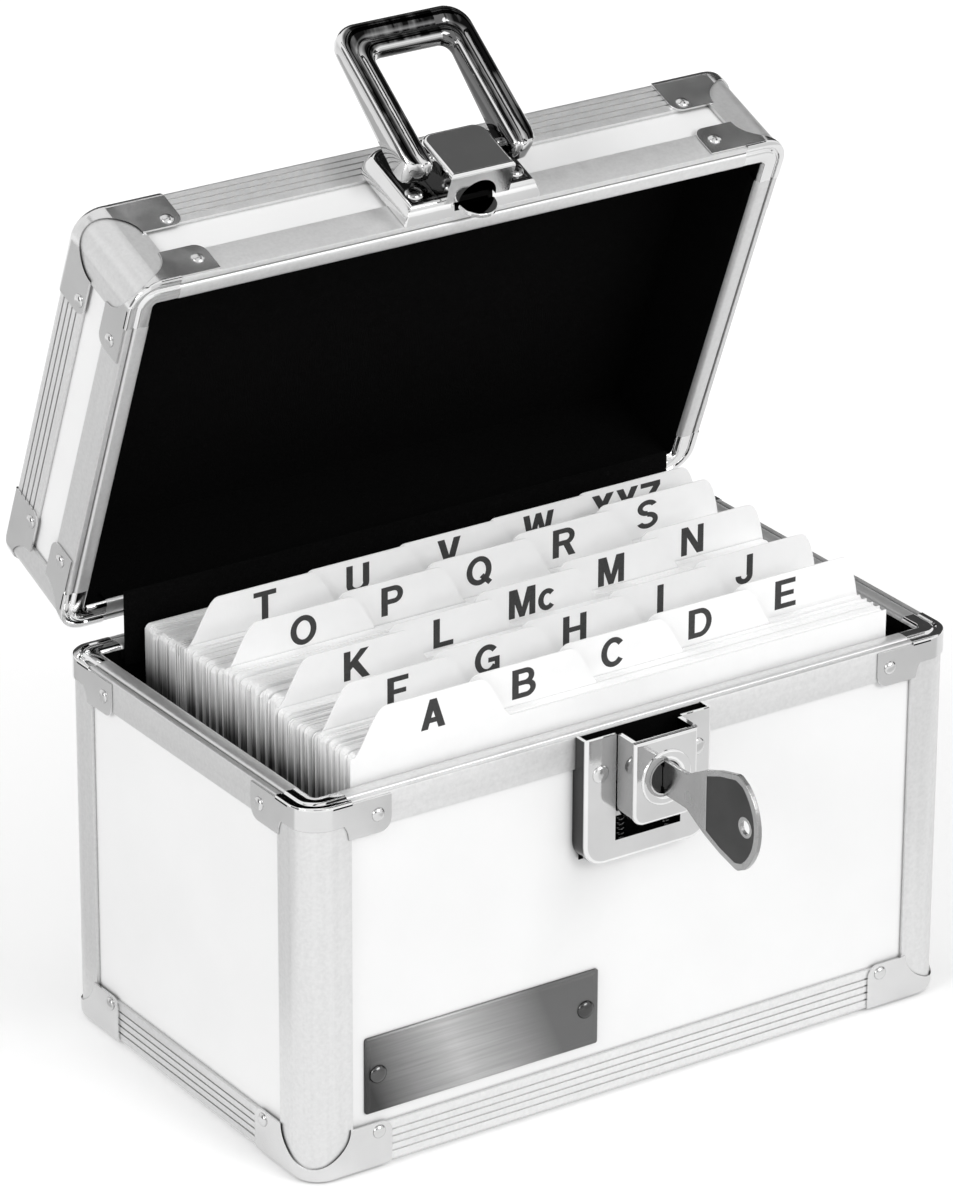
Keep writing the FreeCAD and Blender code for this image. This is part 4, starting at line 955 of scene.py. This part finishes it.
MC_SHIFT = 1.2 * MM    # keeps the M clear of the tab in front
TAB_LETTERS = {"a_to_e": "A B C D E", "f_to_j": "F G H I J", "k_to_n": "K L Mc M N", "o_to_s": "O P Q R S",
               "t_to_z": "T U V W XYZ"}
for row, (letters, words) in enumerate(TAB_LETTERS.items()):
    body, pack = "cards_" + letters, "index_cards_" + letters
    sheets = sheet_faces("guides_" + letters)
    starts = [sheet[0] + GUIDE + SLACK for sheet in sheets]
    ends = [sheet[0] - SLACK for sheet in sheets[1:]] + [corners_of(pack)[1].y]
    single_cards(row, pack, body, list(zip(starts, ends)))
    tabbed_guides(letters, sheets)
    verts, faces = [], []
    for word, (front, middle, top) in zip(words.split(), sheets):
        middle += MC_SHIFT if word == "Mc" else 0
        points, flat = printed_word(word, middle, top, front)
        faces += numbered_from(len(verts), flat)
        verts += points
    piece_from("tab_letters_" + letters, "ink", body, verts, faces)


# Nameplate, key and lock, all in mm

PLATE_WIDTH, PLATE_HEIGHT, PLATE_BACK = 65.4, 19.7, 53.0
PLATE_LEVELS = [(0, 0), (0, 0.55), (0.25, 0.8), (0.9, 0.8), (1.15, 0.62), (1.6, 0.62)]
PLATE_FIELD = PLATE_LEVELS[-1][1]
RIVET_REACH = 29.2
PLATE_RIVET = [(2.3, 0), (2.25, 0.25), (1.9, 0.6), (1.2, 0.85), (0.4, 0.95)]

plate_middle = sum(corners_of("nameplate"), Vector()) / 2 / MM
on_plate = facing_front(plate_middle.x, -PLATE_BACK, plate_middle.z)
badge = pressed_plate("nameplate_sheet", "pewter", "base", PLATE_WIDTH, PLATE_HEIGHT, [0.6] * 4,
                      PLATE_LEVELS, on_plate)
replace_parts(badge, "nameplate")
for side in (-1, 1):
    seat = facing_front(plate_middle.x + side * RIVET_REACH, -PLATE_BACK - PLATE_FIELD, plate_middle.z)
    turned_piece("nameplate_rivet", "dark_steel", "base", PLATE_RIVET, seat)


def mirrored_outline(upper):
    """Outline from its upper half, written from left to right."""
    return upper + [(x, -y) for x, y in reversed(upper)]


# The key lies along its own length, from its blade in the lock to the bow outside
KEY_BLADE = [(2.5, 1.9), (3.4, 2.6), (11.0, 2.6), (11.0, 4.4), (17.0, 4.4)]
KEY_SHOULDER = [(20.0, 4.5), (22.0, 5.6), (27.0, 8.2), (33.0, 10.4), (39.3, 12.0), (40.4, 12.0),
                (41.4, 11.5)]
FIELD_SIDE = [(27.6, 6.9), (33.0, 9.0), (38.8, 10.4), (39.9, 10.2)]
FIELD_MIDDLE, FIELD_OVERLAP = 33.0, 1.02
BOW_MIDDLE, BOW_RADIUS, FIELD_RADIUS = 34.0, 13.98, 12.3
EYE_MIDDLE, EYE_OUTER, EYE_CUT, EYE_HOLE = 42.8, 2.6, 2.4, 1.8
KEY_SHEET, FIELD_SHEET, EYE_SHEET = (1.2, 0.2), (0.86, 0.05), (1.1, 0.12)    # thickness and softened edge

key_turn = Matrix(((0, 0, -1), (-1, 0, 0), (0, 1, 0))).to_4x4()
key_frame = Matrix.Translation(Vector((0, -HALF_DEPTH, KEYHOLE)) * MM) @ key_turn
key_outline = mirrored_outline(KEY_BLADE + KEY_SHOULDER + arc(BOW_MIDDLE, 0, BOW_RADIUS, 50, 2))
field_outline = mirrored_outline(FIELD_SIDE + arc(BOW_MIDDLE, 0, FIELD_RADIUS, 52, 2))
blank = sheet_piece("key_blank", "key_steel", "key", [key_outline, field_outline], *KEY_SHEET, key_frame)
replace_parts(blank, "key")
field_edge = [(FIELD_MIDDLE + (x - FIELD_MIDDLE) * FIELD_OVERLAP, y * FIELD_OVERLAP)
              for x, y in field_outline]
eye_edge, eye_cut, eye_hole = (arc(EYE_MIDDLE, 0, radius, 0, 345, 23)
                               for radius in (EYE_OUTER, EYE_CUT, EYE_HOLE))
sheet_piece("key_inlay", "key_field", "key", [field_edge, eye_cut], *FIELD_SHEET, key_frame)
sheet_piece("key_eye", "key_steel", "key", [eye_edge, eye_hole], *EYE_SHEET, key_frame)

# Painted shade: a black felt sheet at the back of the lock plate's open cavity.
block_piece("lock_lining", "felt", "base", (-17.0, -54.25, 65.4), (17.0, -54.02, 97.1))

WIRE, COIL, PITCH, COIL_GAP = 0.2, 1.0, 1.3, 0.02
COIL_STEPS, WIRE_CORNERS = 16, 8


def coil_rings(x, y, low, high):
    """Wire of an upright spring about an axis, between two heights, all in mm."""
    turns = (high - low) / PITCH
    steps = round(turns * COIL_STEPS)
    rings = []
    for step in range(steps + 1):
        angle = math.tau * turns * step / steps
        out = Vector((math.cos(angle), math.sin(angle), 0))
        centre = Vector((x, y, low + (high - low) * step / steps)) + COIL * out
        rings.append([(centre + WIRE * (math.cos(turn) * out + math.sin(turn) * Vector(UP))) * MM
                      for turn in (math.tau * corner / WIRE_CORNERS for corner in range(WIRE_CORNERS))])
    return rings


near, far = (corner / MM for corner in corners_of("return_springs"))
coil_y = (near.y + far.y) / 2
foot, head = near.z + WIRE + COIL_GAP, far.z - WIRE - COIL_GAP
coils = [coil_rings(x, coil_y, foot, head) for x in (near.x + COIL + WIRE, far.x - COIL - WIRE)]
springs = shells_piece("coil_springs", "dark_steel", None, coils)
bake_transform(springs)
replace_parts(springs, "return_springs")
RING_PROFILE = [(7.0, -0.05), (6.9, 0.2), (6.5, 0.36), (5.9, 0.4), (5.2, 0.28), (4.6, 0.05), (4.35, -0.2),
                (4.2, -0.5), (4.4, -0.5), (6.8, -0.06)]
SLIDE_FRONT = -65.0
turned_piece("keyhole_ring", "chrome", "lock_slide", RING_PROFILE, facing_front(0, SLIDE_FRONT, KEYHOLE),
             looped=True)


# Rims with their beads, and plated corners, with sections of (inset, rise) in mm from a side and the joint

POST_RADIUS, CAP_SHEET = 7.0, 0.5
BEAD = [(2.0, -0.5), (2.25, -0.2), (2.8, -0.04), (3.9, 0.0), (5.1, -0.04), (5.7, -0.2), (6.12, -0.65),
        (6.3, -1.3)]
RIM_FACE = [(0, -8.5), (0, -0.75), (0.1, -0.45), (0.4, -0.32), (1.35, -0.3), (1.5, -0.8), (1.9, -0.8)]
RIM_SECTION = RIM_FACE + BEAD + [(1.0, -1.3), (1.0, -8.5)]
LEG_SECTION = [(5.5, -1.32), (6.28, -1.32), (6.28, -3.8), (5.5, -3.8)]
LIP_CLEARANCE = -0.05
LIP_FACE = [(-CAP_SHEET, -1.3), (-CAP_SHEET, -0.8), (-0.36, -0.48), (-0.05, -0.33), (1.2, -0.3),
            (1.45, -0.62), (1.75, -0.62)]
LIP_SECTION = LIP_FACE + [(inset, min(rise, LIP_CLEARANCE)) for inset, rise in BEAD]


def tray_point(tray, x, y, rise):
    """Point of the base, or of the open lid, from its place in the closed box."""
    point = Vector((x, y, JOINT + (rise if tray == "base" else -rise))) * MM
    return point if tray == "base" else SWING @ point


def corner_place(along, inset):
    """Distances from the two outer faces at a corner, a way along its path and an inset from outside."""
    if abs(along) > POST_RADIUS:
        return (inset, -along) if along < 0 else (along, inset)
    turn = math.radians((along / POST_RADIUS + 1) * 45)
    reach = POST_RADIUS - inset
    return (POST_RADIUS - reach * math.cos(turn), POST_RADIUS - reach * math.sin(turn))


def corner_rings(tray, side, front, ways, section_at):
    """Rings of a section that runs round one corner of the box."""
    rings = []
    for along in ways:
        ring = []
        for inset, rise in section_at(along):
            x, y = corner_place(along, inset)
            ring.append(tray_point(tray, side * (HALF_WIDTH - x), front * (HALF_DEPTH - y), rise))
        rings.append(ring)
    return rings


def side_rings(tray, facing, section):
    """Rings of a section that runs along one side of the box, between the lips of its corners."""
    x, y = facing
    span = (HALF_WIDTH if y else HALF_DEPTH) - LIP_REACH
    return [[tray_point(tray, x * (HALF_WIDTH - inset) + abs(y) * end,
                        y * (HALF_DEPTH - inset) + abs(x) * end, rise) for inset, rise in section]
            for end in (-span, span)]


TAB_HEAD, TAB_FOOT, TAB_REACH, TAB_CORNER, ARCH_RADIUS = -0.9, -10.0, 22.8, 3.0, 8.4
BANDS = {"base": 6.2, "lid": 1.2}
SHEET_EDGE = 0.16


def tab_section(along, band):
    """Section of a cap's sheet a way along it, with its lower edge rounded at the sheet's free ends.

    The edge rises in an arch at the post, no higher than the band left above it.
    """
    x, y = corner_place(along, -CAP_SHEET)
    across = abs(x - y) / math.sqrt(2)
    foot = TAB_FOOT + min(math.sqrt(max(ARCH_RADIUS ** 2 - across ** 2, 0)), -TAB_FOOT - band)
    from_end = TAB_REACH - abs(along)
    if from_end < TAB_CORNER:
        foot += TAB_CORNER - math.sqrt(TAB_CORNER ** 2 - (TAB_CORNER - from_end) ** 2)
    return [(0, foot), (SHEET_EDGE - CAP_SHEET, foot), (-CAP_SHEET, foot + SHEET_EDGE),
            (-CAP_SHEET, TAB_HEAD), (0, TAB_HEAD)]


LIP_REACH = 12.3
LIP_ENDS = [POST_RADIUS + 0.01, 9.6, LIP_REACH]
LIP_WAYS = ([-way for way in reversed(LIP_ENDS)] + [POST_RADIUS * (step / 10 - 1) for step in range(21)]
            + LIP_ENDS)
TAB_WAYS = [TAB_REACH * (step / 90 - 1) for step in range(181)]
SIDES = {"front": (0, -1), "back": (0, 1), "left": (-1, 0), "right": (1, 0)}
CORNERS = [(side, front) for side in (-1, 1) for front in (-1, 1)]
for tray, band in BANDS.items():
    for side, facing in SIDES.items():
        label = "%s_%s_rim" % (tray, side)
        rings = side_rings(tray, facing, RIM_SECTION)
        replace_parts(shells_piece(label + "_beaded", finish_for(label), tray, [rings]), label)
        shells_piece(label + "_lining", "felt", tray, [side_rings(tray, facing, LEG_SECTION)])
    lips = [corner_rings(tray, side, front, LIP_WAYS, lambda along: LIP_SECTION) for side, front in CORNERS]
    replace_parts(shells_piece(tray + "_corner_lips", "bright_cap", tray, lips), tray + "_rim_corners")
    tabs = [corner_rings(tray, side, front, TAB_WAYS, lambda along: tab_section(along, band))
            for side, front in CORNERS]
    shells_piece(tray + "_corner_tabs", "cap", tray, tabs)

block_piece("hinge_flap", "felt", "base", (-79.0, 47.1, 92.0), (79.0, 47.5, 111.2))


# Latch plate and handle, in mm from the front of the closed lid and its joint

DISH_WIDTH, DISH_HEIGHT, DISH_MIDDLE = 38.2, 24.6, 12.5
DISH_CORNERS = [0.6, 6.0, 6.0, 0.6]
DISH_LEVELS = [(0, 0), (0.1, 1.0), (1.5, 3.9), (1.9, 4.35), (2.4, 4.5), (2.9, 4.5), (3.2, 4.4), (3.8, 4.4)]
LATCH_RIVET = [(2.3, 0), (2.25, 0.3), (1.9, 0.8), (1.2, 1.15), (0.4, 1.3)]
LATCH_RIVET_AT = (14.2, 4.35, 6.0)
TONGUE_WIDTH, TONGUE_HEIGHT, TONGUE_CORNERS = 10.0, 5.2, [4.8, 0.3, 0.3, 4.8]
TONGUE_OUT, TONGUE_DOWN, TONGUE_SHEET = 3.1, 2.4, (1.2, 0.25)

dish = pressed_plate("latch_plate_pressed", "latch_dish", "lid", DISH_WIDTH, DISH_HEIGHT, DISH_CORNERS,
                     DISH_LEVELS, SWING @ facing_front(0, -HALF_DEPTH, JOINT + DISH_MIDDLE))
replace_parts(dish, "latch_plate")
across, out, up = LATCH_RIVET_AT
for side in (-1, 1):
    turned_piece("latch_rivet", "latch_rivet", "lid", LATCH_RIVET,
                 SWING @ facing_front(side * across, -HALF_DEPTH - out, JOINT + up))
tongue_outline = rounded_rectangle(TONGUE_WIDTH, TONGUE_HEIGHT, TONGUE_CORNERS)
tongue = sheet_piece("latch_tongue_rounded", "latch_dish", "lid", [tongue_outline], *TONGUE_SHEET,
                     SWING @ facing_front(0, -HALF_DEPTH - TONGUE_OUT, JOINT - TONGUE_DOWN))
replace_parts(tongue, "latch_tongue")

# The bail's section runs from its outer edge, 0, to its window, 1, with its rise above the pivot's plane
PIN_OUT, PIN_UP = 10.8, 9.9
PIVOT = SWING @ (Vector((0, -HALF_DEPTH - PIN_OUT, JOINT + PIN_UP)) * MM) / MM
CREST = 4.7
BAIL_FACE = [(0, 3.1), (0.04, 4.0), (0.12, 4.55), (0.22, CREST), (0.38, 4.5), (0.47, 3.95), (0.53, 3.75),
             (0.58, 4.0), (0.66, 4.5), (0.76, CREST), (0.86, 4.45), (0.94, 3.75), (0.99, 2.8), (1.0, 1.7)]
BAIL_BACK = [(1.0, 0.9), (0.94, 0.15), (0.8, 0), (0.2, 0), (0.06, 0.15), (0, 0.9)]
BAIL_HALF, BAIL_TOP, BAIL_CORNER = 18.5, 38.0, 6.0
WINDOW_HALF, WINDOW_TOP, WINDOW_CORNER = 11.0, 28.7, 3.0
HEEL, HEEL_CORNER, HEEL_FLARE, HEEL_ROUNDING, HEEL_THINNEST = 5.0, 4.5, -1.5, 2.0, 0.45
BAR_OUTER, BAR_INNER, BACK_AT_PIVOT, BACK_AT_TOP = 6.2, 4.0, -2.9, 0.2


def heel(edge, corner, up):
    """Half width of an arm's edge near its heel's end, rounded, or flared where the corner is below 0."""
    rise = up + HEEL
    if rise >= abs(corner):
        return edge
    return edge - corner + math.copysign(math.sqrt(corner ** 2 - (abs(corner) - rise) ** 2), corner)


def bail_half():
    """Outer and inner points of the bail's left half, from its heel to the middle of its cross bar."""
    stations = []
    arm_top, window_arm_top = BAIL_TOP - BAIL_CORNER, WINDOW_TOP - WINDOW_CORNER
    for part in (0, 0.006, 0.02, 0.045, 0.08, 0.13, 0.25, 0.5, 0.75, 0.98):
        out_up = (arm_top + HEEL) * part - HEEL
        in_up = (window_arm_top + HEEL) * part - HEEL
        stations.append(((-heel(BAIL_HALF, HEEL_CORNER, out_up), out_up),
                         (-heel(WINDOW_HALF, HEEL_FLARE, in_up), in_up)))
    outer = arc(BAIL_CORNER - BAIL_HALF, arm_top, BAIL_CORNER, 180, 90)
    inner = arc(WINDOW_CORNER - WINDOW_HALF, window_arm_top, WINDOW_CORNER, 180, 90)
    return stations + list(zip(outer, inner)) + [((-BAR_OUTER, BAIL_TOP), (-BAR_INNER, WINDOW_TOP))]


def bail_ring(out, within):
    """Ring of the bail's section between two points, thinner near the ends of the heels."""
    up_share = min(max(out[1] / BAIL_TOP, 0), 1)
    back = BACK_AT_PIVOT + (BACK_AT_TOP - BACK_AT_PIVOT) * up_share
    end_rise = (out[1] + HEEL) / HEEL_ROUNDING
    pinch = 1.0 if end_rise >= 1 else max(HEEL_THINNEST, math.sqrt(1 - (1 - end_rise) ** 2))
    middle = (back + CREST) / 2
    ring = []
    for part, rise in BAIL_FACE + [(part, back + rise) for part, rise in BAIL_BACK]:
        x, up = (out[axis] + (within[axis] - out[axis]) * part for axis in (0, 1))
        lifted = middle + (rise - middle) * pinch
        ring.append((PIVOT + Vector((x, 0, 0)) + up * BAIL_UP + lifted * BAIL_OUT) * MM)
    return ring


left_half = bail_half()
right_half = [((-out[0], out[1]), (-within[0], within[1])) for out, within in reversed(left_half)]
bail_rings = [bail_ring(out, within) for out, within in left_half + right_half]
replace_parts(shells_piece("bail_handle", "bail", "handle", [bail_rings]), "handle")


# Standard view transform, so colours render as they are written

scene.view_settings.view_transform = "Standard"
